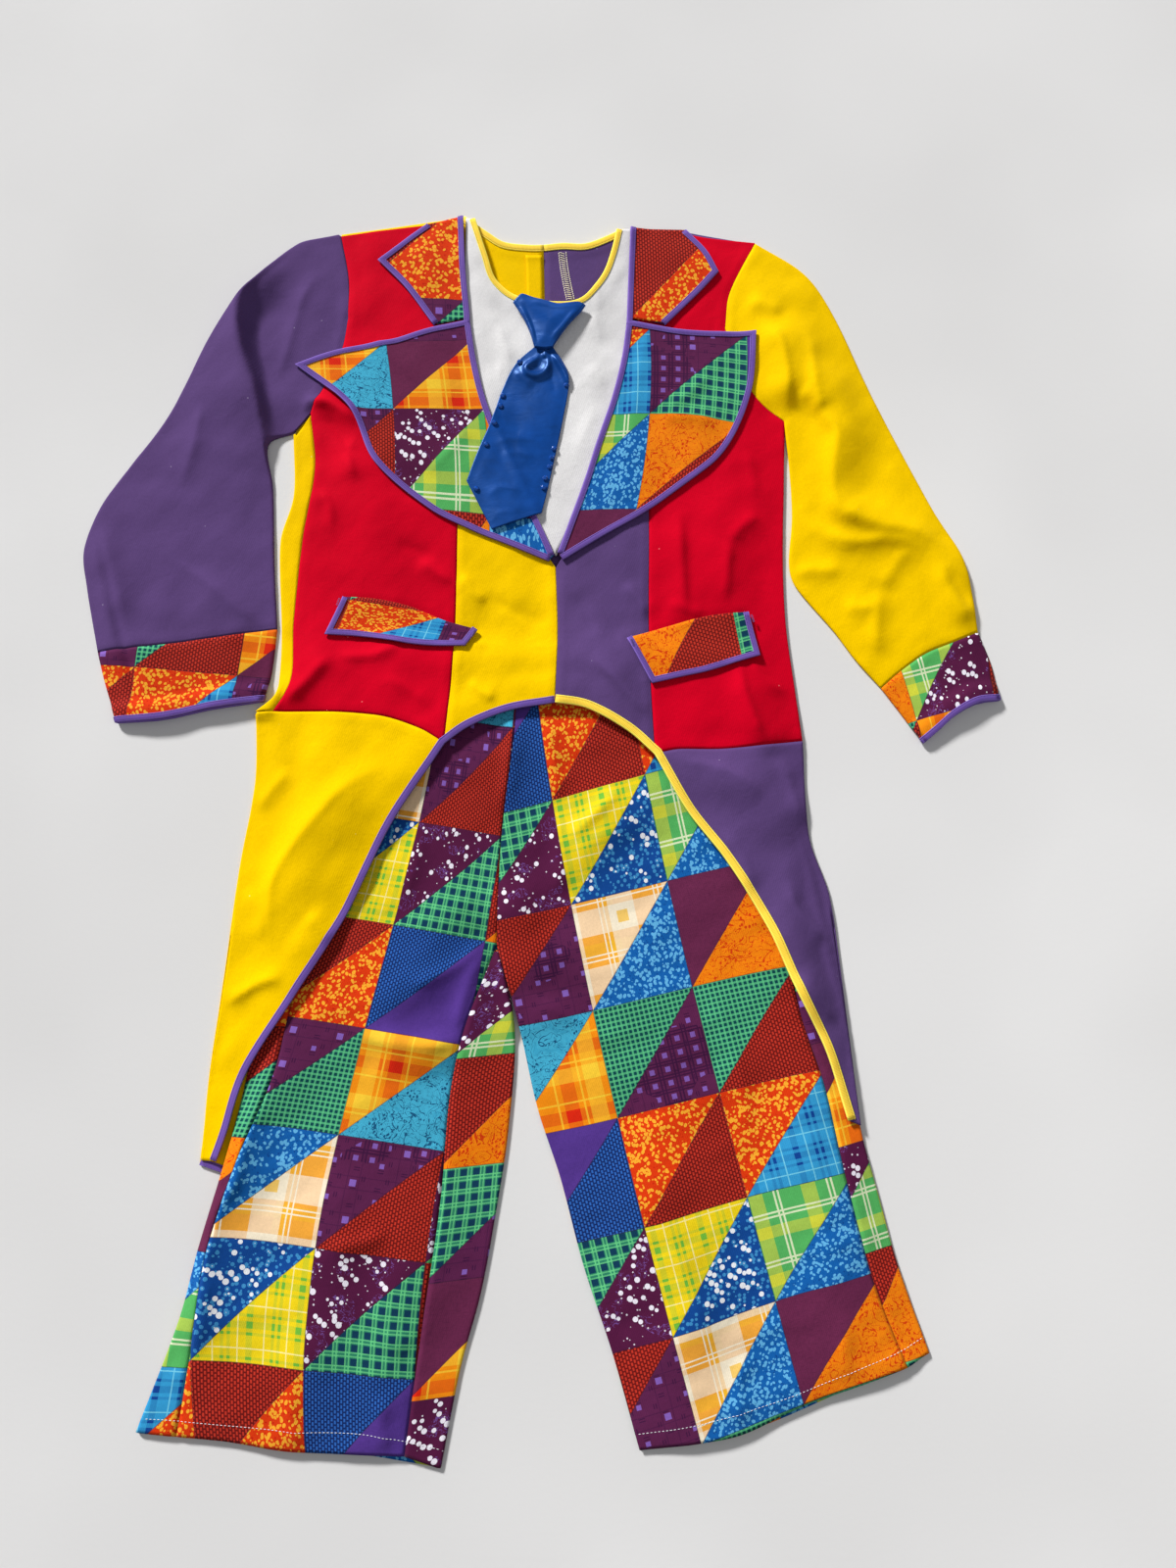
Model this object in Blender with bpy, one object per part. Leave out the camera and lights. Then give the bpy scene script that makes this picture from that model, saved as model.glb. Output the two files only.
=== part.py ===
"""Clown costume laid flat on its back: a tailcoat with an attached shirt front and a tie, and patchwork
trousers lying inside the coat. Sizes are in millimetres. X runs across the garment, Y runs up towards the
neck and Z is up from the surface. Sides are the wearer's, so the right side lies at -X.
Every cut piece is a thin wall that follows its own middle sheet, laid on what is below it.
"""

import bpy
import numpy as np

MM = 0.001
WALL = 1.2  # cloth thickness
SEAM_INSET = 0.2  # each piece stops this far from its seam line
CLEAR = 0.45  # air between cloth lying on cloth
FOLD_AIR = 0.9  # air inside a flattened tube, over its lower sheet
TURN_REACH = 1.3  # how far from the outline a turned edge begins
STRIP_START = 2.0  # how far below the armhole or crotch a turned strip begins
BINDING_WIDTH = 8.3
BINDING_WALL = 1.0
BINDING_AIR = 0.35
UNDER_BINDING = BINDING_WALL + BINDING_AIR
FULLNESS = 2.2  # how far the upper layer stands off inside the outline
FULLNESS_REACH = 26.0
SOFT_REACH = 12.0
MAP_CELL = 4.0
MAP_X = (-448.0, 412.0)
MAP_Y = (-648.0, 500.0)
TO_MIDDLE = (16.3, 73.9, 0.0)  # moves the whole costume so that its middle is at the origin

# name: red, green, blue, roughness
COLOURS = {
    "yellow_cloth": (1.0, 0.66, 0.0, 0.8),
    "purple_cloth": (0.1, 0.06, 0.22, 0.8),
    "red_cloth": (0.66, 0.0, 0.015, 0.8),
    "white_cloth": (0.8, 0.78, 0.76, 0.8),
    "patchwork_cloth": (0.6, 0.2, 0.08, 0.75),
    "purple_binding": (0.15, 0.06, 0.4, 0.7),
    "yellow_binding": (1.0, 0.62, 0.08, 0.7),
    "blue_satin": (0.0, 0.05, 0.35, 0.35),
}

# Outlines and seam lines: each runs through a few places (x, y), down the garment or from right to left.
LINES = {
    "right_shoulder": ((-203, 447), (-150, 455), (-92, 462)),
    "right_armhole_upper": ((-203, 447), (-194, 402), (-193, 362)),
    "right_armhole_lower": ((-193, 362), (-198, 330), (-213, 292), (-224, 268)),
    "right_armhole_end": ((-224, 268), (-239, 250)),
    "right_strip_seam": ((-224, 268), (-218, 215), (-226, 150), (-231, 70), (-230, 16), (-245, -11)),
    "right_side": ((-239, 250), (-236, 190), (-246, 145), (-241, 60), (-241, 20), (-244, 3), (-260, -11)),
    "right_front_edge": ((-92, 462), (-89, 358), (-79, 300)),
    "right_centre_seam": ((-79, 300), (-87, 230), (-88, 161), (-88, 80), (-90, 20), (-95, -40)),
    "right_lapel_line": ((-79, 300), (-60, 240), (-42, 197), (-24, 158), (0, 120)),
    "centre_front": ((0, 120), (2, 60), (0, -4)),
    "right_waist": ((-245, -11), (-194, -12), (-150, -16), (-117, -27), (-95, -40)),
    "right_cut_centre": ((-95, -40), (-74, -25), (-40, -11), (0, -4)),
    "right_tail_outer": ((-260, -11), (-258, -74), (-267, -142), (-277, -249), (-284, -321), (-286, -386)),
    "right_cut": (
        (-95, -40), (-140, -112), (-175, -188), (-217, -257), (-253, -316), (-266, -362), (-274, -386),
    ),
    "left_shoulder": ((74, 451), (104, 452), (142, 445), (185, 440)),
    "left_armhole_upper": ((185, 440), (160, 388), (155, 352)),
    "left_armhole_lower": ((155, 352), (165, 313), (183, 281), (207, 260)),
    "left_side": ((207, 260), (205, 200), (202, 130), (203, 67), (209, 10), (214, -37)),
    "left_front_edge": ((74, 451), (74, 358), (69, 318)),
    "left_centre_seam": ((69, 318), (79, 240), (83, 168), (82, 76), (83, 13), (86, -50)),
    "left_lapel_line": ((69, 318), (59, 279), (45, 235), (32, 192), (19, 154), (0, 120)),
    "left_cut_centre": ((0, -4), (28, -9), (63, -29), (86, -50)),
    "left_waist": ((86, -50), (105, -46), (148, -45), (214, -37)),
    "left_tail_outer": ((214, -37), (217, -120), (233, -172), (243, -270), (251, -358)),
    "left_cut": ((86, -50), (113, -98), (146, -142), (178, -196), (201, -249), (224, -297), (241, -354)),
    "placket_top": ((-34, 424), (-27, 424), (-20, 424)),
    "placket_right": ((-34, 424), (-33, 408), (-32, 370), (-31, 300)),
    "placket_left": ((-20, 424), (-19, 408), (-18, 370), (-17, 300)),
    "placket_bottom": ((-31, 300), (-24, 299), (-17, 300)),
    "centre_back": ((-13, 438), (-10, 300), (-10, -40)),
    "right_back_top": ((-203, 450), (-150, 458), (-88, 468)),
    "right_back_neck": ((-88, 468), (-64, 450), (-50, 441), (-27, 438), (-13, 438)),
    "left_back_neck": ((-13, 438), (5, 440), (28, 440), (62, 455)),
    "left_back_top": ((62, 455), (104, 455), (142, 448), (185, 440)),
    "right_back_waist": ((-260, -11), (-160, -16), (-10, -40)),
    "left_back_waist": ((-10, -40), (100, -44), (214, -37)),
    "right_back_tail_inner": ((-10, -40), (-60, -120), (-140, -220), (-212, -312), (-264, -397)),
    "right_back_tail_outer": (
        (-260, -11), (-258, -74), (-267, -142), (-277, -249), (-284, -321), (-288, -389),
    ),
    "left_back_tail_inner": ((-10, -40), (62, -130), (150, -220), (206, -296), (240, -364)),
    "right_sleeve_outer": (
        (-203, 450), (-243, 438), (-278, 400), (-320, 340), (-356, 262), (-405, 186), (-421, 140),
        (-416, 103), (-402, 43),
    ),
    "right_sleeve_inner": ((-239, 250), (-262, 238), (-256, 196), (-251, 120), (-246, 64)),
    "right_cuff_seam": ((-402, 43), (-356, 48), (-300, 56), (-246, 64)),
    "right_cuff_outer": ((-402, 43), (-394, 16), (-381, -20)),
    "right_cuff_inner": ((-246, 64), (-249, 24), (-254, -1)),
    "right_cuff_end": ((-381, -20), (-340, -17), (-300, -8), (-254, -1)),
    "left_sleeve_outer": ((185, 440), (230, 408), (256, 365), (289, 282), (337, 177), (363, 126), (372, 61)),
    "left_sleeve_inner": (
        (207, 260), (211, 215), (212, 168), (208, 125), (213, 104), (246, 62), (264, 36), (285, 11),
    ),
    "left_cuff_seam": ((285, 11), (304, 27), (326, 42), (353, 53), (372, 61)),
    "left_cuff_outer": ((372, 61), (382, 31), (387, 0)),
    "left_cuff_inner": ((285, 11), (302, -13), (319, -38)),
    "left_cuff_end": ((319, -38), (332, -27), (347, -14), (367, -3), (387, 0)),
    "neckline": (
        (-78, 463), (-66, 425), (-57, 400), (-35, 382), (1, 377), (24, 382), (42, 405), (51, 430), (56, 452),
    ),
    "shirt_right": ((-86, 464), (-84, 358), (-70, 282), (-38, 200), (-20, 163), (0, 131)),
    "shirt_left": ((0, 131), (14, 158), (27, 196), (54, 282), (68, 358), (68, 453)),
    "collar_right_top": ((-90, 464), (-122, 458)),
    "collar_right_upper": ((-122, 458), (-166, 420)),
    "collar_right_lower": ((-166, 420), (-140, 392), (-113, 354)),
    "collar_right_inner": ((-89, 464), (-86, 410), (-81, 361)),
    "collar_left_top": ((69, 453), (120, 452)),
    "collar_left_upper": ((120, 452), (138, 430), (149, 408)),
    "collar_left_lower": ((149, 408), (129, 385), (99, 354)),
    "collar_left_inner": ((69, 453), (67, 410), (65, 361)),
    "lapel_right_top": ((-81, 358), (-117, 350), (-153, 338), (-202, 328), (-238, 314)),
    "lapel_right_outer": (
        (-238, 314), (-188, 272), (-163, 219), (-113, 175), (-77, 156), (-42, 141), (-6, 126),
    ),
    "lapel_right_inner": ((-81, 358), (-75, 320), (-66, 282), (-52, 243), (-34, 200), (-16, 163), (-2, 131)),
    "lapel_left_top": ((65, 358), (88, 353), (119, 348), (155, 346), (182, 346)),
    "lapel_left_outer": (
        (182, 346), (178, 295), (164, 253), (144, 222), (99, 186), (73, 168), (37, 147), (6, 127),
    ),
    "lapel_left_inner": ((65, 358), (60, 320), (51, 282), (37, 238), (24, 196), (11, 158), (2, 133)),
    "flap_right_top": ((-187, 92), (-159, 90), (-128, 83), (-97, 70), (-69, 62)),
    "flap_right_bottom": ((-201, 58), (-170, 56), (-127, 49), (-100, 47), (-79, 47)),
    "flap_left_top": ((63, 53), (98, 64), (133, 74), (169, 78)),
    "flap_left_bottom": ((84, 13), (110, 19), (132, 24), (178, 39)),
    "right_front_waist": ((-176, 48), (-110, 50), (-33, 44)),
    "left_front_waist": ((-33, 44), (60, 50), (142, 44)),
    "right_back_waistline": ((-190, 48), (-110, 50), (-33, 44)),
    "left_back_waistline": ((-33, 44), (60, 50), (155, 44)),
    "right_leg_outer": (
        (-190, 48), (-215, -60), (-238, -200), (-250, -305), (-266, -385), (-284, -452), (-297, -508),
        (-326, -591),
    ),
    "right_leg_seam": (
        (-176, 48), (-198, -60), (-212, -200), (-228, -310), (-255, -385), (-275, -450), (-283, -510),
        (-294, -594),
    ),
    "centre_trousers": ((-33, 44), (-35, -30), (-45, -117), (-48, -212)),
    "right_inseam": ((-48, -212), (-74, -281), (-85, -337), (-91, -421), (-103, -511), (-115, -608)),
    "right_leg_inner": (
        (-48, -212), (-33, -279), (-37, -360), (-47, -429), (-58, -489), (-73, -544), (-87, -617),
    ),
    "left_leg_inner": ((-48, -212), (-29, -277), (-13, -344), (6, -399), (25, -467), (48, -533), (69, -604)),
    "left_leg_outer": (
        (155, 44), (188, -60), (215, -160), (236, -265), (251, -360), (264, -414), (277, -467), (299, -533),
    ),
    "left_leg_seam": (
        (142, 44), (170, -60), (192, -180), (204, -265), (223, -329), (237, -399), (256, -477), (281, -543),
    ),
    "right_hem": ((-294, -594), (-257, -597), (-205, -604), (-160, -606), (-115, -608)),
    "left_hem": ((69, -604), (117, -598), (152, -591), (199, -571), (238, -558), (281, -543)),
    "right_back_hem": ((-326, -591), (-257, -597), (-160, -606), (-87, -617)),
    "left_back_hem": ((69, -604), (152, -591), (238, -558), (299, -533)),
    "knot_top": ((-36, 383), (-5, 381), (25, 378)),
    "knot_right": ((-36, 383), (-29, 355), (-21, 329)),
    "knot_left": ((25, 378), (9, 352), (0, 329)),
    "knot_bottom": ((-21, 329), (-10, 327), (0, 329)),
    "blade_top": ((-19, 326), (-10, 324), (-1, 326)),
    "blade_right": ((-19, 326), (-38, 308), (-50, 286), (-59, 258), (-70, 229), (-80, 199)),
    "blade_left": ((-1, 326), (8, 313), (10, 294), (7, 268), (1, 236), (-7, 196), (-13, 170)),
    "blade_point_right": ((-80, 199), (-57, 154)),
    "blade_point_left": ((-57, 154), (-13, 170)),
}

# The largest folds. Each runs from one place by another to a third; its crest stands up by rise and fades
# over its own width on the right side and on the left side of that way.
FOLD_COLUMNS = ("from_x", "from_y", "by_x", "by_y", "to_x", "to_y", "rise", "right_width", "left_width")
COAT_FOLDS = (
    (-243, 434, -296, 352, -266, 243, 10, 34, 15),
    (-413, 179, -396, 96, -366, -5, 4, 13, 18),
    (203, 372, 213, 311, 208, 266, 7, 16, 22),
    (228, 322, 262, 262, 246, 190, 6, 22, 18),
    (228, 176, 285, 166, 350, 128, 6, 22, 17),
    (335, 150, 350, 100, 368, 66, 5, 16, 20),
    (-192, 240, -178, 205, -150, 120, 5, 20, 26),
    (-192, 56, -212, 28, -236, -14, 6, 20, 20),
    (18, 96, 42, 40, 62, -8, 5, 20, 16),
    (128, 200, 142, 160, 150, 90, 5, 20, 20),
    (166, 30, 176, -12, 200, -50, 6, 18, 22),
    (-138, -60, -190, -110, -232, -196, 6, 24, 24),
    (110, -62, 168, -84, 204, -130, 5, 20, 24),
    (182, -170, 202, -220, 224, -286, 5, 18, 16),
)
TROUSER_FOLDS = (
    (-46, -150, -30, -200, -10, -262, 8, 17, 22),
    (-60, -150, -118, -232, -165, -300, 6, 26, 24),
    (4, -150, 38, -118, 74, -84, 6, 20, 20),
    (-10, -190, 60, -250, 130, -330, 5, 26, 30),
    (-228, -321, -266, -410, -288, -545, 6, 14, 24),
    (-150, -290, -118, -302, -72, -296, 5, 18, 16),
    (-170, -380, -178, -480, -206, -590, 6, 34, 34),
    (-110, -400, -122, -490, -136, -600, 4, 24, 26),
    (60, -330, 92, -430, 118, -590, 6, 34, 34),
    (190, -300, 214, -400, 246, -540, 6, 30, 30),
)


def clear_scene():
    for found in list(bpy.data.objects):
        bpy.data.objects.remove(found, do_unlink=True)
    for found in list(bpy.data.materials):
        bpy.data.materials.remove(found)


def soft_curve(places):
    """A dense curve that passes softly through the places."""
    points = np.array(places, float)
    padded = np.vstack((2 * points[0] - points[1], points, 2 * points[-1] - points[-2]))
    share = np.linspace(0, 1, 17)[:-1, None]
    parts = []
    for a, b, c, d in zip(padded, padded[1:], padded[2:], padded[3:]):
        before = (c - a) / 2
        after = (d - b) / 2
        length = np.linalg.norm(c - b)
        before *= min(1.0, length / max(np.linalg.norm(before), 1e-6))
        after *= min(1.0, length / max(np.linalg.norm(after), 1e-6))
        rise = 3 * share**2 - 2 * share**3
        start = share**3 - 2 * share**2 + share
        end = share**3 - share**2
        parts.append(b * (1 - rise) + c * rise + before * start + after * end)
    return np.vstack((*parts, points[-1:]))


def spaced(curve, cells, first=0.0, last=0.0):
    """Points along a curve, evenly apart, with an end cell of a stated length where one is given."""
    steps = np.linalg.norm(np.diff(curve, axis=0), axis=1)
    along = np.concatenate(([0], np.cumsum(steps)))
    length = along[-1]
    first = min(first, 0.45 * length)
    last = min(last, 0.45 * length)
    stops = np.linspace(first, length - last, cells + 1 - (first > 0) - (last > 0))
    if first > 0:
        stops = np.concatenate(([0], stops))
    if last > 0:
        stops = np.concatenate((stops, [length]))
    return np.column_stack([np.interp(stops, along, curve[:, k]) for k in range(curve.shape[1])])


def line(name, cells, first=0.0, last=0.0):
    return spaced(soft_curve(LINES[name]), cells, first, last)


def joined(*runs):
    """Runs of points end to end, each corner once."""
    return np.vstack([runs[0]] + [run[1:] for run in runs[1:]])


def shares(points):
    steps = np.linalg.norm(np.diff(points, axis=0), axis=1)
    along = np.concatenate(([0], np.cumsum(steps)))
    return along / along[-1]


def web(top, bottom, start, end, start_margin=0.0, end_margin=0.0):
    """A grid of places [across, down] between four edges, with a narrow column beside a bound edge."""
    start = np.vstack((top[:1], start[1:-1], bottom[:1]))
    end = np.vstack((top[-1:], end[1:-1], bottom[-1:]))
    across = (shares(top) + shares(bottom))[:, None, None] / 2
    down = (shares(start) + shares(end))[None, :, None] / 2
    sides = (1 - across) * start[None] + across * end[None]
    ends = (1 - down) * top[:, None] + down * bottom[:, None]
    corners = (1 - across) * ((1 - down) * start[0] + down * start[-1])
    corners = corners + across * ((1 - down) * end[0] + down * end[-1])
    grid = sides + ends - corners
    if start_margin or end_margin:
        for row in range(1, grid.shape[1] - 1):
            grid[:, row] = spaced(grid[:, row], grid.shape[0] - 1, start_margin, end_margin)
    return grid


def distance_to(places, route):
    """Distance from each place to a route, how far along it the nearest place is, and the side it is on."""
    best = np.full(len(places), 1e9)
    along = np.zeros(len(places))
    side = np.zeros(len(places))
    count = len(route) - 1
    for index in range(count):
        a = route[index]
        way = route[index + 1] - a
        share = np.clip(((places - a) @ way) / (way @ way), 0, 1)
        off = places - (a + share[:, None] * way)
        far = np.hypot(off[:, 0], off[:, 1])
        nearer = far < best
        best = np.where(nearer, far, best)
        along = np.where(nearer, (index + share) / count, along)
        side = np.where(nearer, way[0] * off[:, 1] - way[1] * off[:, 0], side)
    return best, along, side


def folded(places, folds):
    """How far the folds lift each place."""
    lift = np.zeros(len(places))
    for row in folds:
        fold = dict(zip(FOLD_COLUMNS, row))
        route = soft_curve(
            ((fold["from_x"], fold["from_y"]), (fold["by_x"], fold["by_y"]), (fold["to_x"], fold["to_y"]))
        )
        far, along, side = distance_to(places, route[::4])
        width = np.where(side > 0, fold["left_width"], fold["right_width"])
        ends = np.minimum(1, np.minimum(along, 1 - along) / 0.3)
        ends = ends**2 * (3 - 2 * ends)
        lift += fold["rise"] * np.exp(-((far / width) ** 2)) * (0.25 + 0.75 * ends)
    return lift


def fullness(places, outlines):
    """How far the upper layer stands off the lower one: nothing at the outline and most inside it."""
    far = np.full(len(places), 1e9)
    for name in outlines:
        far = np.minimum(far, distance_to(places, soft_curve(LINES[name])[::6])[0])
    return FULLNESS * (1 - np.exp(-((far / FULLNESS_REACH) ** 2)))


class Pile:
    """A map of how high the cloth laid so far reaches."""

    def __init__(self):
        wide = int((MAP_X[1] - MAP_X[0]) / MAP_CELL) + 1
        long = int((MAP_Y[1] - MAP_Y[0]) / MAP_CELL) + 1
        self.height = np.zeros((wide, long))

    def cell(self, places):
        across = np.clip(((places[:, 0] - MAP_X[0]) / MAP_CELL).astype(int), 0, self.height.shape[0] - 1)
        along = np.clip(((places[:, 1] - MAP_Y[0]) / MAP_CELL).astype(int), 0, self.height.shape[1] - 1)
        return across, along

    def add(self, grid):
        """Lays a grid of middle points [across, down] on the map."""
        gaps = np.linalg.norm(np.diff(grid[..., :2], axis=0), axis=2).max()
        gaps = max(gaps, np.linalg.norm(np.diff(grid[..., :2], axis=1), axis=2).max())
        parts = int(gaps / MAP_CELL * 1.5) + 2
        for s in np.linspace(0, 1, parts):
            for t in np.linspace(0, 1, parts):
                near = grid[:-1, :-1] * (1 - s) + grid[1:, :-1] * s
                next_row = grid[:-1, 1:] * (1 - s) + grid[1:, 1:] * s
                points = (near * (1 - t) + next_row * t).reshape(-1, 3)
                np.maximum.at(self.height, self.cell(points), points[:, 2] + WALL / 2)

    def spread(self):
        """The map with each cell as high as its neighbours."""
        wide = self.height
        for axis in (0, 1):
            wide = np.maximum(wide, np.maximum(np.roll(wide, 1, axis), np.roll(wide, -1, axis)))
        return wide

    def softened(self):
        """The map evened out over SOFT_REACH."""
        soft = self.height.copy()
        for _ in range(int(SOFT_REACH / MAP_CELL) ** 2):
            for axis in (0, 1):
                soft = (2 * soft + np.roll(soft, 1, axis) + np.roll(soft, -1, axis)) / 4
        return soft


def raised_for_binding(places):
    """Extra height beside bound edges, for the binding that passes under them."""
    lift = np.zeros(len(places))
    for name, (height, reach) in BOUND_EDGES.items():
        far = distance_to(places, soft_curve(LINES[name])[::6])[0]
        lift = np.maximum(lift, height * np.exp(-((far / reach) ** 6)))
    return lift


def laid(webs, pile, air=CLEAR, outlines=(), folds=(), bound=False, soft=False):
    """Lays sheets side by side on the pile, following it softly or closely.

    They keep one height where they share a place.
    """
    names = list(webs)
    places = np.vstack([webs[name].reshape(-1, 2) for name in names])
    quads = []
    start = 0
    for name in names:
        columns, rows = webs[name].shape[:2]
        quads += [[start + index for index in face] for face in sheet_faces(columns, rows)]
        start += columns * rows
    quads = np.array(quads)
    _, shared = np.unique(np.round(places, 1), axis=0, return_inverse=True)
    shared = shared.ravel()
    gap = np.full(len(places), WALL / 2 + air)
    if bound:
        gap += raised_for_binding(places)
    height = np.full(len(places), WALL / 2)
    if outlines or soft:
        height = pile.softened()[pile.cell(places)] + gap
    if outlines:
        height += fullness(places, outlines) + folded(places, folds)
    below = pile.spread()
    parts = np.linspace(0.04, 0.96, 6)
    for _ in range(10):
        rise = np.zeros(len(places))
        for s in parts:
            for t in parts:
                weight = np.array(((1 - s) * (1 - t), (1 - s) * t, s * t, s * (1 - t)))
                spot = np.einsum("k,nkd->nd", weight, places[quads])
                floor = below[pile.cell(spot)]
                need = floor + gap[quads] @ weight - height[quads] @ weight
                need = np.where(floor > 0, np.maximum(need, 0), 0)
                np.maximum.at(rise, quads, need[:, None] * weight / (weight @ weight))
        height += rise
        highest = np.full(shared.max() + 1, -1.0)
        np.maximum.at(highest, shared, height)
        height = highest[shared]
    made = {}
    start = 0
    for name in names:
        columns, rows = webs[name].shape[:2]
        made[name] = np.dstack((webs[name], height[start : start + columns * rows].reshape(columns, rows)))
        start += columns * rows
    return made


def flat(grid, height=WALL / 2):
    return np.dstack((grid, np.full(grid.shape[:2], height)))


def drawn_in(grid, sides):
    """Draws the named edges of a grid [across, down, xyz] back from their seam lines."""
    grid = grid.copy()
    turned = grid.transpose(1, 0, 2)
    edges = {"start": (grid, 0, 1), "end": (grid, -1, -2), "top": (turned, 0, 1), "bottom": (turned, -1, -2)}
    for side in sides:
        view, edge, inner = edges[side]
        run = unit(np.gradient(view[edge, :, :2], axis=0))
        inward = unit(view[inner, :, :2] - view[edge, :, :2])
        square = np.abs(run[:, 0] * inward[:, 1] - run[:, 1] * inward[:, 0])
        view[edge, :, :2] += SEAM_INSET * inward / np.maximum(square, 0.5)[:, None]
    return grid


def unit(vectors):
    return vectors / np.maximum(np.linalg.norm(vectors, axis=-1, keepdims=True), 1e-9)


def sheet_faces(columns, rows, skipped=(), closed=False):
    """Quads of a grid, without those in a skipped (first column, last column, first row, last row)."""
    faces = []
    last = columns if closed else columns - 1
    for i in range(last):
        for j in range(rows - 1):
            if any(a <= i < b and c <= j < d for a, b, c, d in skipped):
                continue
            k = (i + 1) % columns
            faces.append((i * rows + j, i * rows + j + 1, k * rows + j + 1, k * rows + j))
    return faces


def vertex_normals(points, faces):
    corners = points[np.array(faces)]
    across = np.cross(corners[:, 2] - corners[:, 0], corners[:, 3] - corners[:, 1])
    across = unit(across)
    total = np.zeros_like(points)
    for corner in range(4):
        np.add.at(total, np.array(faces)[:, corner], across)
    return unit(total)


def build_object(name, points, faces, colour):
    mesh = bpy.data.meshes.new(name)
    mesh.from_pydata([tuple(p) for p in (points + TO_MIDDLE) * MM], [], faces)
    mesh.validate()
    mesh.polygons.foreach_set("use_smooth", [True] * len(mesh.polygons))
    mesh.materials.append(MATERIALS[colour])
    made = bpy.data.objects.new(name, mesh)
    bpy.context.scene.collection.objects.link(made)
    return made


def split(face, first_way):
    """Two triangles of a quad, along its first diagonal or its second."""
    a, b, c, d = face
    return ((a, b, c), (a, c, d)) if first_way else ((a, b, d), (b, c, d))


def cloth(name, grid, colour, skipped=(), closed=False):
    """A wall of cloth round a grid of middle points [across, down, xyz]. Gives its normals back."""
    columns, rows = grid.shape[:2]
    points = grid.reshape(-1, 3)
    faces = sheet_faces(columns, rows, skipped, closed)
    used = sorted({index for face in faces for index in face})
    renumber = {old: new for new, old in enumerate(used)}
    faces = [tuple(renumber[index] for index in face) for face in faces]
    points = points[used]
    normals = vertex_normals(points, faces)
    number = len(points)
    solid = []
    for face in faces:
        a, b, c, d = points[list(face), 2]
        for part in split(face, a + c > b + d):
            solid.append(part)
            solid.append(tuple(index + number for index in reversed(part)))
    sides = {(face[k], face[(k + 1) % 4]) for face in faces for k in range(4)}
    for a, b in sorted(sides):
        if (b, a) not in sides:
            solid.append((b, a, a + number, b + number))
    walls = np.vstack((points + normals * WALL / 2, points - normals * WALL / 2))
    build_object(name, walls, solid, colour)
    full = np.zeros((columns * rows, 3))
    full[used] = normals
    return full.reshape(grid.shape)


def binding(name, edge, inner, edge_up, inner_up, colour, closed=False, corner=None):
    """A strip folded over an edge: its section goes over the cloth, round the edge and back under it.

    A corner is the last station before the strip crosses a seam on to the next piece.
    """
    way = unit(edge - inner)
    if corner:
        pair = slice(corner, corner + 2)
        way[pair] = unit(way[pair].sum(axis=0))
        edge_up[pair] = unit(edge_up[pair].sum(axis=0))
        inner_up[pair] *= SEAM_BULK
    near = WALL / 2 + BINDING_AIR
    far = near + BINDING_WALL
    section = (
        inner + inner_up * far,
        edge + edge_up * far,
        edge + way * 1.3,
        edge - edge_up * far,
        inner - inner_up * far,
        inner - inner_up * near,
        edge + way * 0.3 - edge_up * near,
        edge + way * 0.3 + edge_up * near,
        inner + inner_up * near,
    )
    around = len(section)
    outward = (0, 1, 5, 6)
    stations = len(edge)
    points = np.stack(section, axis=1).reshape(-1, 3)
    faces = []
    for s in range(stations if closed else stations - 1):
        t = (s + 1) % stations
        ridge = inner[s, 2] + edge[t, 2] > edge[s, 2] + inner[t, 2]
        for k in range(around):
            n = (k + 1) % around
            face = (s * around + k, s * around + n, t * around + n, t * around + k)
            faces += split(face, ridge if k in outward else not ridge)
    if not closed:
        end = (stations - 1) * around
        for part in ((0, 1, 7, 8), (1, 2, 7), (2, 6, 7), (2, 3, 6), (3, 4, 5, 6)):
            faces.append(tuple(reversed(part)))
            faces.append(tuple(end + k for k in part))
    if signed_volume(points, faces) < 0:
        faces = [tuple(reversed(face)) for face in faces]
    build_object(name, points, faces, colour)


def signed_volume(points, faces):
    total = 0.0
    for face in faces:
        for k in range(1, len(face) - 1):
            a, b, c = points[face[0]], points[face[k]], points[face[k + 1]]
            total += float(np.dot(a, np.cross(b, c)))
    return total


def straight(a, b, cells, first=0.0, last=0.0):
    return spaced(np.array((a, b), float), cells, first, last)


def strip_places(low, seam, first_row, parts):
    """Places of the strip that a lower sheet's start side carries back over itself to a seam line."""
    edge = low[0, first_row:, :2]
    near = edge + unit(low[1, first_row:, :2] - edge) * TURN_REACH
    share = np.linspace(0, 1, parts + 1)[:, None, None]
    places = seam[None] * (1 - share) + near[None] * share
    places[:, 0] += unit(places[:, 1] - places[:, 0]) * STRIP_START
    return places


def with_strip(low, over, first_row):
    """A lower sheet carried round its start side into the strip over it, from a row on."""
    parts = len(over)
    over = drawn_in(over, ("start",))
    grid = np.vstack((np.repeat(low[:1], parts + 1, axis=0), low))
    grid[:parts, first_row:] = over
    edge = low[0, first_row:].copy()
    edge[0] += unit(edge[1] - edge[0]) * STRIP_START
    middle = (edge[:, 2] + over[-1, :, 2]) / 2
    grid[parts, first_row:] = np.column_stack((edge[:, :2], middle))
    grid[parts + 1, first_row:, :2] = over[-1, :, :2]
    return grid, (0, parts + 1, 0, first_row)


def tube_places(grid, reach, open_rows=0):
    """Places of one side of a flattened tube, a little inside its folded edges."""
    back = np.full((grid.shape[1], 1), reach)
    back[:open_rows] = 0
    first = grid[0] + unit(grid[1] - grid[0]) * reach
    last = grid[-1] + unit(grid[-2] - grid[-1]) * back
    return np.concatenate((first[None], grid[1:-1], last[None]))


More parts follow.
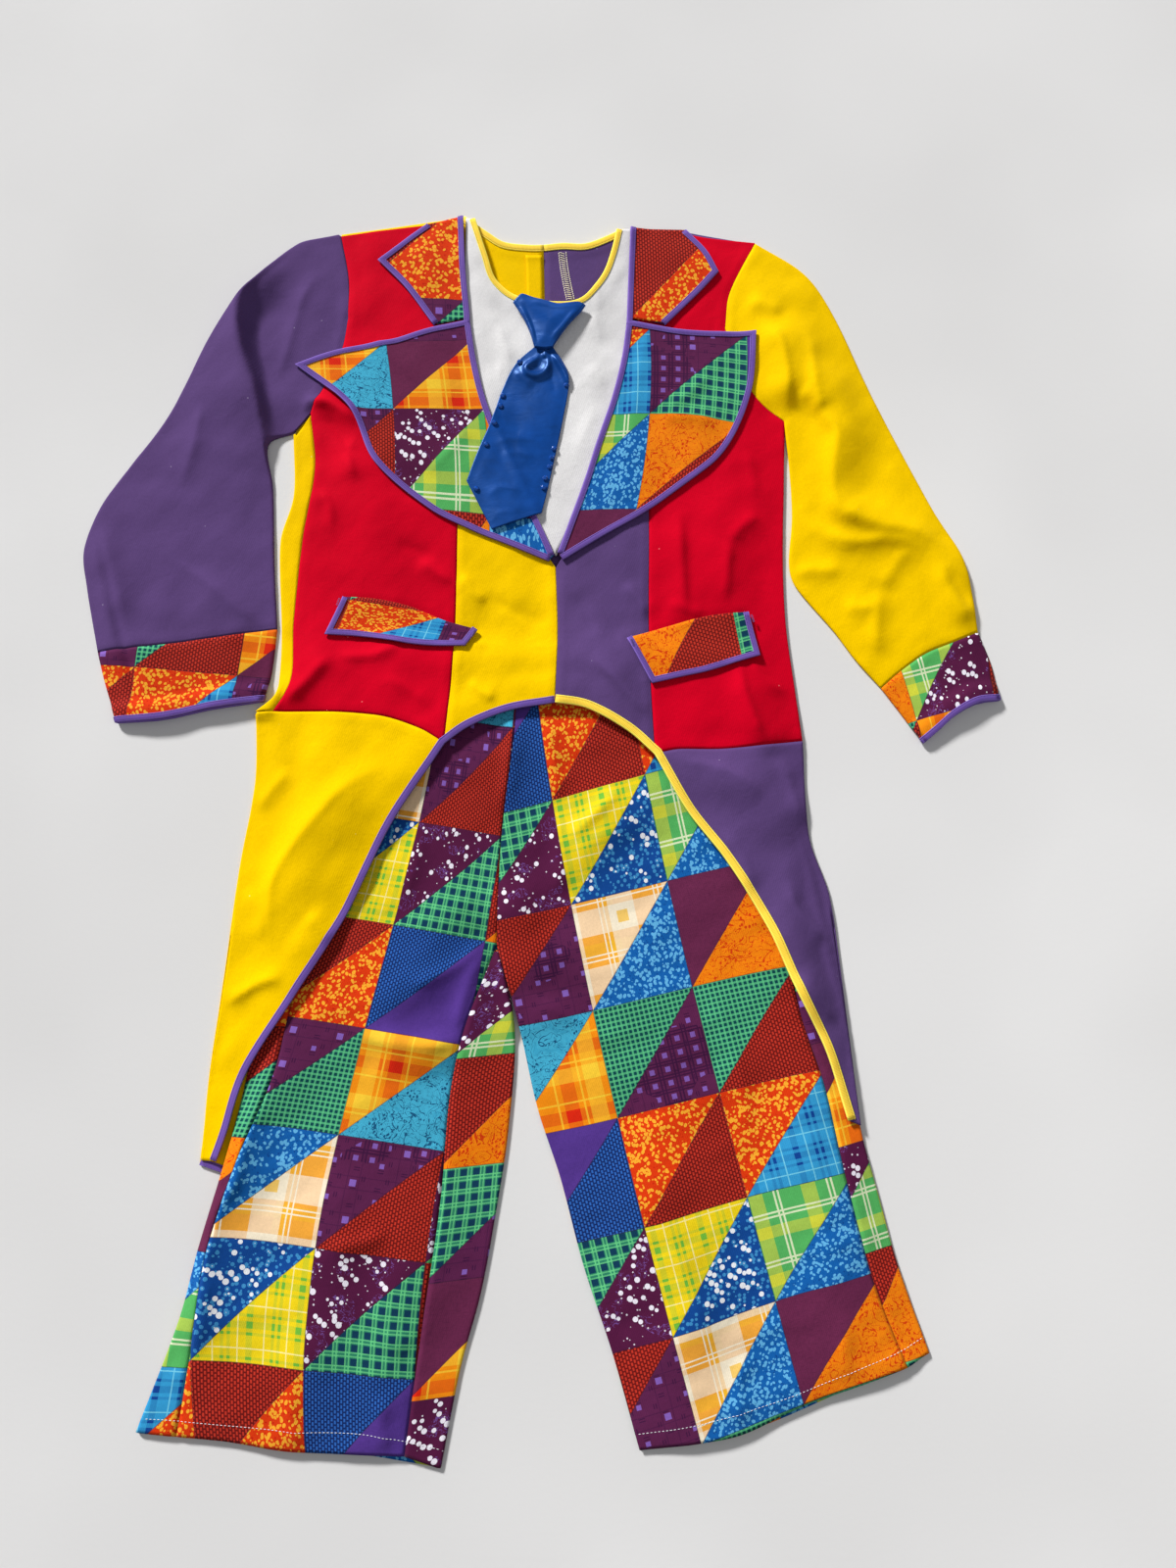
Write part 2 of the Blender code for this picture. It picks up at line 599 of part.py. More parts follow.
def tube(grid, upper, low, open_rows=0):
    """Columns all the way round a flattened tube, whose lower sheet has a height for each row.

    Its first rows may be open on the last side, where the tube is sewn on.
    """
    if open_rows:
        upper[:, : open_rows + 1] = drawn_in(upper[:, : open_rows + 1], ("end",))
    lower = np.dstack((upper[..., :2], np.broadcast_to(low, upper.shape[:2])))
    round_last = np.column_stack((grid[-1], (upper[-1, :, 2] + low) / 2))
    round_first = np.column_stack((grid[0], (upper[0, :, 2] + low) / 2))
    columns = np.concatenate((upper, round_last[None], lower[::-1], round_first[None]))
    return columns, (len(upper) - 1, len(upper) + 1, 0, open_rows)


def along(grid, normals, pairs, ease=0.0):
    """Edge places, places inside them and their upward normals, the first place eased towards the second."""
    normals = normals * np.sign(normals[..., 2].sum())
    edge = [at for at, _ in pairs]
    inner = [inside for _, inside in pairs]
    runs = []
    for source in (grid, normals):
        for part in (edge, inner):
            run = np.array([source[place] for place in part])
            run[0] = run[0] * (1 - ease) + run[1] * ease
            runs.append(run)
    return runs


def bound_edge(name, colour, *parts):
    """A binding along one or more runs of edge places."""
    edge, inner, edge_up, inner_up = (np.vstack([part[k] for part in parts]) for k in range(4))
    corner = len(parts[0][0]) - 1 if name.startswith("tail_binding") else None
    binding(name, edge, inner, edge_up, inner_up, colour, corner=corner)


COAT_OUTLINES = (
    "right_shoulder", "left_shoulder", "right_side", "left_side", "right_tail_outer", "left_tail_outer",
    "right_sleeve_outer", "left_sleeve_outer", "right_sleeve_inner", "left_sleeve_inner",
    "right_cuff_outer", "left_cuff_outer", "right_cuff_inner", "left_cuff_inner",
)
TROUSER_OUTLINES = ("right_leg_outer", "left_leg_outer", "right_leg_inner", "left_leg_inner")
# edge: how much higher the sheet lies there, how far in
BOUND_EDGES = {
    "right_cut_centre": (1.7, 26),
    "left_cut_centre": (1.7, 26),
    "right_cut": (1.35, 26),
    "left_cut": (1.35, 26),
    "neckline": (1.35, 18),
    "right_cuff_end": (4.6, 16),
    "left_cuff_end": (4.6, 16),
}
RAISED = WALL / 2 + UNDER_BINDING  # the middle of a sheet whose edge is bound, over the surface
SIDE_CELLS = 11
SEAM_BULK = 1.35  # how much farther a binding stands off where it crosses a seam corner
KNOT_RISE = 2.6
CUFF_REACH = 3.0


def arm_edge(side):
    """The armhole from the shoulder down: its upper part, then all of it."""
    upper = line(side + "_armhole_upper", 6, first=BINDING_WIDTH)
    whole = joined(upper, line(side + "_armhole_lower", 4))
    if side == "right":
        return upper, whole, joined(whole, line("right_armhole_end", 1))
    return upper, whole, whole


def lay_coat_backs(pile):
    """The lower layer of the coat: flat, and raised only where its edge is bound."""
    sheets = {}
    outer = joined(arm_edge("right")[2], line("right_side", SIDE_CELLS))
    top = joined(line("right_back_top", 5), line("right_back_neck", 5))
    waist = line("right_back_waist", 10)
    middle = line("centre_back", len(outer) - 1, first=BINDING_WIDTH)
    sheets["coat_back_right"] = web(top, waist, outer, middle)
    tail_outer = line("right_back_tail_outer", 16, last=BINDING_WIDTH)
    tail_inner = line("right_back_tail_inner", 16, last=BINDING_WIDTH)
    tip = straight(tail_outer[-1], tail_inner[-1], 10)
    sheets["tail_back_right"] = web(waist, tip, tail_outer, tail_inner)
    outer = joined(arm_edge("left")[2], line("left_side", SIDE_CELLS))
    top = joined(line("left_back_neck", 4), line("left_back_top", 5))
    waist = line("left_back_waist", 9)
    middle = line("centre_back", len(outer) - 1, first=BINDING_WIDTH)
    sheets["coat_back_left"] = web(top, waist, middle, outer)
    tail_outer = line("left_tail_outer", 14)
    tail_inner = line("left_back_tail_inner", 14)
    tip = straight(tail_inner[-1], tail_outer[-1], 9)
    sheets["tail_back_left"] = web(waist, tip, tail_inner, tail_outer)
    for name, grid in sheets.items():
        sheet = flat(grid)
        bound = {"coat_back": slice(0, 2), "tail_back_right": slice(-2, None)}
        for start, rows in bound.items():
            if name.startswith(start):
                sheet[:, rows, 2] = RAISED
                pile.add(sheet[:, rows] + (0, 0, UNDER_BINDING))
        pile.add(sheet)
        sheets[name] = sheet
    placket = web(
        line("placket_top", 2), line("placket_bottom", 2), line("placket_right", 8), line("placket_left", 8)
    )
    sheets.update(laid({"back_placket": placket}, pile))
    pile.add(sheets["back_placket"])
    return sheets


def sleeve_webs():
    """Places of the sleeves and cuffs, from the outer edge to the underarm edge and down the arm."""
    webs = {}
    for side in ("right", "left"):
        head, _, whole = arm_edge(side)
        cells = len(head) - 1
        seam = line(side + "_cuff_seam", cells)
        end = line(side + "_cuff_end", cells)
        if side == "left":
            seam = seam[::-1]
            end = end[::-1]
        underarm = joined(whole[len(head) - 1 :], line(side + "_sleeve_inner", 12))
        rows = len(underarm) - 1
        webs["sleeve_" + side] = web(head, seam, line(side + "_sleeve_outer", rows), underarm)
        webs["cuff_" + side] = web(
            seam,
            end,
            line(side + "_cuff_outer", 3, last=BINDING_WIDTH),
            line(side + "_cuff_inner", 3, last=BINDING_WIDTH),
        )
    return webs


def lay_trousers(pile):
    """Two legs, each with a front piece and a back piece that turns round the leg."""
    hip, leg = 10, 17
    centre = line("centre_trousers", hip)
    right_inner = joined(centre, line("right_leg_inner", leg))
    left_inner = joined(centre, line("left_leg_inner", leg))
    right_outer = line("right_leg_outer", hip + leg)
    left_outer = line("left_leg_outer", hip + leg)
    right = web(line("right_back_waistline", 8), line("right_back_hem", 8), right_outer, right_inner)
    left = web(line("left_back_waistline", 8), line("left_back_hem", 8), left_inner, left_outer)
    lower = laid({"right": right, "left": left}, pile)
    right = drawn_in(lower["right"], ("end",))
    left = drawn_in(lower["left"], ("start",))[::-1]
    pile.add(right)
    pile.add(left)
    inseam = joined(centre, line("right_inseam", leg))
    right_seam = line("right_leg_seam", hip + leg)
    left_seam = line("left_leg_seam", hip + leg)
    first = hip + 1
    upper = {
        "front_right": web(line("right_front_waist", 7), line("right_hem", 7), right_seam, inseam),
        "front_left": web(line("left_front_waist", 8), line("left_hem", 8), left_inner, left_seam),
        "outer_right": strip_places(right, right_seam, 0, 1),
        "inner_right": strip_places(right[::-1], inseam[first:], first, 2),
        "outer_left": strip_places(left, left_seam, 0, 1),
    }
    upper = laid(upper, pile, FOLD_AIR, TROUSER_OUTLINES, TROUSER_FOLDS)
    for grid in upper.values():
        pile.add(grid)
    front_right, front_left = upper["front_right"], upper["front_left"]
    back_right, _ = with_strip(right, upper["outer_right"], 0)
    back_right, inner_gap = with_strip(back_right[::-1], upper["inner_right"], first)
    back_left, _ = with_strip(left, upper["outer_left"], 0)
    cloth("trouser_back_right", back_right, "patchwork_cloth", (inner_gap,))
    cloth("trouser_back_left", back_left, "patchwork_cloth")
    cloth("trouser_front_right", drawn_in(front_right, ("start", "end")), "patchwork_cloth")
    cloth("trouser_front_left", drawn_in(front_left, ("start", "end")), "patchwork_cloth")


def lay_coat_fronts(pile, backs):
    """The upper layer of the coat: fronts, tails, sleeves, cuffs and the shirt front."""
    sheets = {}
    outer = joined(arm_edge("right")[1], line("right_strip_seam", SIDE_CELLS))
    seam = line("right_centre_seam", 14, last=BINDING_WIDTH)
    inner = joined(line("right_front_edge", len(outer) - 15), seam)
    waist = line("right_waist", 7, last=BINDING_WIDTH)
    sheets["front_side_right"] = web(line("right_shoulder", 7), waist, outer, inner)
    centre = line("centre_front", 14, last=BINDING_WIDTH)
    sheets["front_centre_right"] = web(
        line("right_cut_centre", 5), line("right_lapel_line", 5), seam[::-1], centre[::-1]
    )
    tail_top = joined(straight((-258.6, -11.8), (-245, -11), 1), waist)
    cut = line("right_cut", 16)
    tail_outer = line("right_tail_outer", 16)
    sheets["tail_front_right"] = web(
        tail_top, straight(tail_outer[-1], cut[-1], 8), tail_outer, cut, end_margin=BINDING_WIDTH
    )
    outer = joined(arm_edge("left")[1], line("left_side", SIDE_CELLS))
    seam = line("left_centre_seam", 15, last=BINDING_WIDTH)
    inner = joined(line("left_front_edge", len(outer) - 16), seam)
    waist = line("left_waist", 6, first=BINDING_WIDTH)
    sheets["front_side_left"] = web(line("left_shoulder", 6), waist, inner, outer)
    centre = line("centre_front", 15, last=BINDING_WIDTH)
    sheets["front_centre_left"] = web(
        line("left_cut_centre", 5), line("left_lapel_line", 5)[::-1], centre[::-1], seam[::-1]
    )
    cut = line("left_cut", 15)
    tail_outer = line("left_tail_outer", 15)
    sheets["tail_front_left"] = web(
        waist, straight(cut[-1], tail_outer[-1], 6), cut, tail_outer, start_margin=BINDING_WIDTH
    )
    rows = 12
    shirt_edge = joined(line("shirt_right", rows), line("shirt_left", rows))
    neck = line("neckline", 2 * rows)
    first_end = straight(neck[0], shirt_edge[0], 6)
    last_end = straight(neck[-1], shirt_edge[-1], 6)
    sheets["shirt_front"] = web(first_end, last_end, neck, shirt_edge, BINDING_WIDTH)
    back = backs["coat_back_right"]
    first = len(arm_edge("right")[2]) - 1
    sheets["strip"] = strip_places(back, line("right_strip_seam", SIDE_CELLS), first, 1)
    webs = sleeve_webs()
    open_rows = {name: 0 for name in webs}
    for name, grid in webs.items():
        reach = CUFF_REACH
        if name.startswith("sleeve"):
            head, _, whole = arm_edge(name[7:])
            open_rows[name] = len(whole) - len(head)
            reach = TURN_REACH
        sheets[name] = tube_places(grid, reach, open_rows[name])
    grids = laid(sheets, pile, FOLD_AIR, COAT_OUTLINES, COAT_FOLDS, bound=True)
    for grid in grids.values():
        pile.add(grid)
    gaps = {}
    for name, grid in webs.items():
        low = np.full(grid.shape[1], WALL / 2)
        if name.startswith("cuff"):
            low[-2:] = RAISED
        grids[name], gaps[name] = tube(grid, grids[name], low, open_rows[name])
    strip, gap = with_strip(back, grids["strip"], first)
    cloth("coat_back_right", drawn_in(strip, ("end", "bottom")), "yellow_cloth", (gap,))
    return grids, gaps


def edge_pairs(columns, rows, sides):
    """Places on the bound sides, each with the place a binding's width inside it, going start, top, end."""
    pairs = []
    if "start" in sides:
        pairs += [((0, j), (1, j)) for j in range(rows - 1, 0, -1)]
        pairs += [((0, 0), (1, 1))]
    if "top" in sides:
        pairs += [((i, 0), (i, 1)) for i in range(1, columns - 1)]
        pairs += [((columns - 1, 0), (columns - 2, 1))]
    if "end" in sides:
        pairs += [((columns - 1, j), (columns - 2, j)) for j in range(1 if "top" in sides else 0, rows)]
    return pairs


def lay_coat(pile, backs):
    grids, gaps = lay_coat_fronts(pile, backs)
    shown = (
        ("front_side_right", "red_cloth", ("start", "end", "bottom")),
        ("front_centre_right", "yellow_cloth", ("start", "end")),
        ("tail_front_right", "yellow_cloth", ("top",)),
        ("front_side_left", "red_cloth", ("start", "end", "bottom")),
        ("front_centre_left", "purple_cloth", ("start", "end")),
        ("tail_front_left", "purple_cloth", ("top",)),
        ("shirt_front", "white_cloth", ()),
    )
    ups = {}
    for name, colour, sides in shown:
        grids[name] = drawn_in(grids[name], sides)
        ups[name] = cloth(name, grids[name], colour)
    for side, colour in (("right", "purple_cloth"), ("left", "yellow_cloth")):
        sleeve = drawn_in(grids["sleeve_" + side], ("top", "bottom"))
        cloth("sleeve_" + side, sleeve, colour, (gaps["sleeve_" + side],), closed=True)
        grid = drawn_in(grids["cuff_" + side], ("top",))
        ups["cuff"] = cloth("cuff_" + side, grid, "patchwork_cloth", closed=True)
        binding(
            "cuff_binding_" + side, grid[:, -1], grid[:, -2], ups["cuff"][:, -1], ups["cuff"][:, -2],
            "purple_binding", closed=True,
        )
    for side, colour in (("right", "purple_binding"), ("left", "yellow_binding")):
        centre, tail = "front_centre_" + side, "tail_front_" + side
        columns = len(grids[centre])
        rows = grids[tail].shape[1]
        top = [((i, 0), (i, 1)) for i in range(columns)]
        edge, inside = (len(grids[tail]) - 1, len(grids[tail]) - 2) if side == "right" else (0, 1)
        cut = [((edge, j), (inside, j)) for j in range(rows)]
        if side == "right":
            top.reverse()
        on_centre = along(grids[centre], ups[centre], top)
        on_tail = along(grids[tail], ups[tail], cut, 0.1)
        bound_edge("tail_binding_" + side, colour, on_centre, on_tail)
    rows = grids["shirt_front"].shape[1]
    pairs = [((0, j), (1, j)) for j in range(rows)]
    bound_edge("neck_binding_front", "yellow_binding", along(grids["shirt_front"], ups["shirt_front"], pairs))


def lay_backs(backs):
    ups = {}
    cloth("back_placket", backs["back_placket"], "yellow_cloth")
    for name, colour, sides in (
        ("coat_back_left", "purple_cloth", ("start", "end", "bottom")),
        ("tail_back_right", "yellow_cloth", ("top", "end")),
        ("tail_back_left", "purple_cloth", ("top", "start")),
    ):
        backs[name] = drawn_in(backs[name], sides)
        ups[name] = cloth(name, backs[name], colour)
    tail = backs["tail_back_right"]
    rows = tail.shape[1]
    pairs = [((i, rows - 1), (i, rows - 2)) for i in range(0, len(tail), 2)]
    bound_edge("tail_hem_binding_right", "purple_binding", along(tail, ups["tail_back_right"], pairs))
    right = [((i, 0), (i, 1)) for i in range(5, 11)]
    left = [((i, 0), (i, 1)) for i in range(0, 5)]
    for side, pairs in (("right", right), ("left", left)):
        back = backs["coat_back_" + side]
        up = np.zeros_like(back) + (0, 0, 1)
        bound_edge("neck_binding_back_" + side, "yellow_binding", along(back, up, pairs))


def lay_on_coat(pile):
    """Collars, lapels and pocket flaps, each bound where its edge is free."""
    made = {}
    for side in ("right", "left"):
        upper, lower = 3, 4
        inner = line("collar_%s_inner" % side, upper + lower)
        outer = joined(line("collar_%s_upper" % side, upper), line("collar_%s_lower" % side, lower))
        top = line("collar_%s_top" % side, 3, BINDING_WIDTH, BINDING_WIDTH)
        bottom = straight(inner[-1], outer[-1], 3, BINDING_WIDTH, BINDING_WIDTH)
        made["collar_" + side] = web(top, bottom, inner, outer, BINDING_WIDTH, BINDING_WIDTH)
        inner = line("lapel_%s_inner" % side, 14, first=BINDING_WIDTH)
        outer = line("lapel_%s_outer" % side, 14, first=BINDING_WIDTH)
        top = line("lapel_%s_top" % side, 9, BINDING_WIDTH, BINDING_WIDTH)
        bottom = straight(inner[-1], outer[-1], 9, BINDING_WIDTH, BINDING_WIDTH)
        made["lapel_" + side] = web(top, bottom, inner, outer, BINDING_WIDTH, BINDING_WIDTH)
        top = line("flap_%s_top" % side, 7, BINDING_WIDTH, BINDING_WIDTH)
        bottom = line("flap_%s_bottom" % side, 7, BINDING_WIDTH, BINDING_WIDTH)
        start = straight(bottom[0], top[0], 3, first=BINDING_WIDTH)
        end = straight(bottom[-1], top[-1], 3, first=BINDING_WIDTH)
        made["flap_" + side] = web(bottom, top, start, end, BINDING_WIDTH, BINDING_WIDTH)
    made = laid(made, pile, CLEAR + UNDER_BINDING, soft=True)
    ups = {name: cloth(name, grid, "patchwork_cloth") for name, grid in made.items()}
    for grid in made.values():
        raised = grid.copy()
        raised[..., 2] += UNDER_BINDING
        pile.add(raised)
    for side in ("right", "left"):
        collar, lapel, flap = "collar_" + side, "lapel_" + side, "flap_" + side
        columns, rows = made[collar].shape[:2]
        free = edge_pairs(columns, rows, ("end",))
        bound_edge("collar_binding_" + side, "purple_binding", along(made[collar], ups[collar], free))
        down = [((0, j), (1, j)) for j in range(rows)]
        columns, rows = made[lapel].shape[:2]
        on = [((0, j), (1, j)) for j in range(rows)]
        bound_edge(
            "front_edge_binding_" + side, "purple_binding",
            along(made[collar], ups[collar], down), along(made[lapel], ups[lapel], on),
        )
        free = edge_pairs(columns, rows, ("top", "end"))
        bound_edge("lapel_binding_" + side, "purple_binding", along(made[lapel], ups[lapel], free, 0.03))
        columns, rows = made[flap].shape[:2]
        free = edge_pairs(columns, rows, ("start", "top", "end"))
        bound_edge("flap_binding_" + side, "purple_binding", along(made[flap], ups[flap], free))


def lay_tie(pile):
    """A flattened knot and a blade that spreads from it."""
    knot = web(line("knot_top", 5), line("knot_bottom", 5), line("knot_right", 4), line("knot_left", 4))
    low = laid({"knot": knot}, pile)["knot"][..., 2].max()
    places = tube_places(knot, 2.0)
    height = low + KNOT_RISE + fullness(places.reshape(-1, 2), ("knot_right", "knot_left")) * 1.5
    upper = np.dstack((places, height.reshape(places.shape[:2])))
    columns, gap = tube(knot, upper, np.full(5, low))
    cloth("tie_knot", columns, "blue_satin", (gap,), closed=True)
    point = joined(line("blade_point_right", 3), line("blade_point_left", 3))
    blade = web(line("blade_top", 6), point, line("blade_right", 9), line("blade_left", 9))
    blade = laid({"blade": blade}, pile, soft=True)["blade"]
    cloth("tie_blade", blade, "blue_satin")


clear_scene()
MATERIALS = {}
for colour, (red, green, blue, rough) in COLOURS.items():
    MATERIALS[colour] = bpy.data.materials.new(colour)
    MATERIALS[colour].use_nodes = True
    shader = MATERIALS[colour].node_tree.nodes["Principled BSDF"]
    shader.inputs["Base Color"].default_value = (red, green, blue, 1.0)
    shader.inputs["Roughness"].default_value = rough
    shader.inputs["Metallic"].default_value = 0.0

pile = Pile()
backs = lay_coat_backs(pile)
for name, grid in sleeve_webs().items():
    pile.add(flat(grid))
lay_trousers(pile)
lay_coat(pile, backs)
lay_backs(backs)
lay_on_coat(pile)
lay_tie(pile)
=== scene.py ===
"""Dresses the clown costume that is laid flat on its back: a tailcoat with an attached shirt front and a
satin tie, and patchwork trousers lying inside the coat. Sizes are in millimetres on the garment's own plan,
unless a comment says metres: X runs across it, Y up towards the neck and Z up from the surface. Sides are
the wearer's.
"""

import math

import bpy
import mathutils
import numpy as np
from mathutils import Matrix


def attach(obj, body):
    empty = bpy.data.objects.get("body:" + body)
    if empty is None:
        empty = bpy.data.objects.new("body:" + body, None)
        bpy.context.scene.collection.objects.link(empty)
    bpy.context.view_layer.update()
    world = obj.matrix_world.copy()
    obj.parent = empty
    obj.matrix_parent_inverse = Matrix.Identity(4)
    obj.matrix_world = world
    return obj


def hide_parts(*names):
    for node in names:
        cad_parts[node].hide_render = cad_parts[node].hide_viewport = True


bl_info = {
    "name": "Clown Costume Laid Flat",
    "version": (1, 0, 0),
    "blender": (4, 5, 0),
    "location": "3D View > Sidebar > Costume",
    "description": "Cloth, bindings, patchwork print, stitches and beads for a laid-out clown costume",
    "category": "Object",
}

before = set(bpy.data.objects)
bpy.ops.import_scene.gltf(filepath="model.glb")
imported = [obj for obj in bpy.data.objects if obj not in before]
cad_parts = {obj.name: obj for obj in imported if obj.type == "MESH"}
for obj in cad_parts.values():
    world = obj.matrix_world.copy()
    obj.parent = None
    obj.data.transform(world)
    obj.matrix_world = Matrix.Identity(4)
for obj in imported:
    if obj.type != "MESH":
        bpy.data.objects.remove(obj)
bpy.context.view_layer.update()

MM = 0.001
TO_MIDDLE = (16.3, 73.9, 0.0)  # from the plan's origin to the middle of the outline
MAP_X = (-448.0, 412.0)
MAP_Y = (-648.0, 500.0)
MAP_CELL = 2.0  # cell of the height maps
CLEAR = 0.45  # air between cloth lying on cloth
FOLD_AIR = 0.9  # air inside a flattened tube
SEAM_INSET = 0.12  # each piece stops this far from its seam line
FOLD_POINTS = (0.45, 1.5)  # places on the round of a folded edge, from the fold
CUFF_FOLD_POINTS = (0.8, 2.6)
FULLNESS_REACH = 24.0
SOFT_REACH = 12.0
SHIRT_CELL = 0.0004  # the shirt's cells at its short ends, in metres
CREST = 2.0  # how round the top of a crease is
CREASE_SHARE = 0.78  # a crease's slope as a share of its named width
END_FADE = 0.3  # share of a route over which a crease or fold rises from its end
TIE_CELLS = (0.0011, 0.0012)  # the tie's cells across and down, in metres
TIE_WALL = 1.3
KNOT_WALL = 1.2
KNOT_BODY = 1.9  # how far the knot's upper side stands off its lower one at the edge
KNOT_FULLNESS = (2.2, 9)  # how much more in the middle, and over what reach
KNOT_FOLD_POINTS = (0.5, 1.2, 2.2)
BIND_COVER = 9.5  # width that a binding takes up on the pile
BIND_REACH = 13  # how far inside a bound edge the cloth is raised
BIND_CELL = 0.004  # spacing of a binding's stations, in metres
BIND_OUT = 0.8  # how far a binding's fold stands out past the cloth's edge
STITCH_INSET = 1.2  # how far a binding's stitches are from its inner edge
STITCH_DIP = 0.2  # how deep they draw it in
TURN_CELLS = 5  # cells of cloth carried round a side to its seam
INSEAM_CELLS = 8
WAVE_SUMS = 9  # how many waves the unevenness of a cloth is the sum of
TROUSER_WAVES = ((5, 0.6, 70), (6, 0.22, 27))  # seed, height and length
COAT_WAVES = ((11, 0.6, 60), (12, 0.22, 28))
BINDING_STITCH = (2.8, 1.9, 0.42)  # pitch, length and thickness
BEAD_LIFT = 1.3
BEAD_RADIUS = 0.0027  # in metres
PRINT_PITCH = 90.0  # side of a print square on the back pieces
STYLE_PARTS = 16.0  # a print style is kept as a grey of its number over this
JOIN_WIDTH = 0.35  # half width of the dark joins between print squares
JOIN_DARK = (0.03, 0.012, 0.03)
BLACK = (0.0, 0.0, 0.0)
THREADS = {"white_thread": (0.85, 0.85, 0.88), "cream_thread": (1.0, 0.92, 0.68)}
BEAD_COLOUR = (0.002, 0.06, 0.34)
FLOOR_HALF = 4.0  # the stage's sizes are in metres
FLOOR_TONES = [(0.3, (0.62, 0.61, 0.6)), (0.7, (0.68, 0.67, 0.66))]
LENS = 27  # in millimetres on the camera's film
EYE = (0.0448, -0.1764, 1.0)
EYE_TILT = 10  # degrees
ROOM_COLOUR = (0.92, 0.95, 1.0, 1.0)
ROOM_STRENGTH = 0.24

MATERIALS = {}  # slot: its material
LAID = {}  # what the steps pass on: the pile, the height maps and the open grids


class CostumeSizes(bpy.types.PropertyGroup):
    """Sizes that the whole costume is made with."""

    cell: bpy.props.FloatProperty(
        name="Cell", description="Mesh cell of the cloth that shows", default=0.003, unit="LENGTH"
    )
    hidden_cell: bpy.props.FloatProperty(
        name="Hidden cell", description="Mesh cell of the cloth below", default=0.008, unit="LENGTH"
    )
    wall: bpy.props.FloatProperty(
        name="Cloth", description="Thickness of the cloth", default=0.0011, unit="LENGTH"
    )
    fullness: bpy.props.FloatProperty(
        name="Fullness", description="How far the upper layer stands off the lower one", default=0.0022,
        unit="LENGTH",
    )
    binding_width: bpy.props.FloatProperty(
        name="Binding width", description="Common width of the bindings that show", default=0.0055,
        unit="LENGTH",
    )
    binding_wall: bpy.props.FloatProperty(
        name="Binding thickness", description="Thickness of the folded strip", default=0.0007, unit="LENGTH"
    )
    binding_air: bpy.props.FloatProperty(
        name="Binding air", description="Gap between a binding and its cloth", default=0.0002, unit="LENGTH"
    )
    print_square: bpy.props.FloatProperty(
        name="Patch", description="Side of a square of the patchwork print", default=0.09, unit="LENGTH"
    )


def dye(name, colour):
    return bpy.props.FloatVectorProperty(
        name=name, description="Colour of the " + name.lower(), default=colour, size=3, subtype="COLOR",
        min=0.0, max=1.0,
    )


class CostumeColours(bpy.types.PropertyGroup):
    """Colours of the plain cloths and of the bindings."""

    yellow_cloth: dye("Yellow cloth", (1.0, 0.62, 0.0))
    purple_cloth: dye("Purple cloth", (0.112, 0.06, 0.19))
    red_cloth: dye("Red cloth", (0.66, 0.001, 0.017))
    white_cloth: dye("White cloth", (0.82, 0.8, 0.79))
    purple_binding: dye("Purple binding", (0.14, 0.072, 0.335))
    yellow_binding: dye("Yellow binding", (1.0, 0.67, 0.06))
    blue_satin: dye("Blue satin", (0.005, 0.06, 0.3))

# ---- tables of sizes, in millimetres

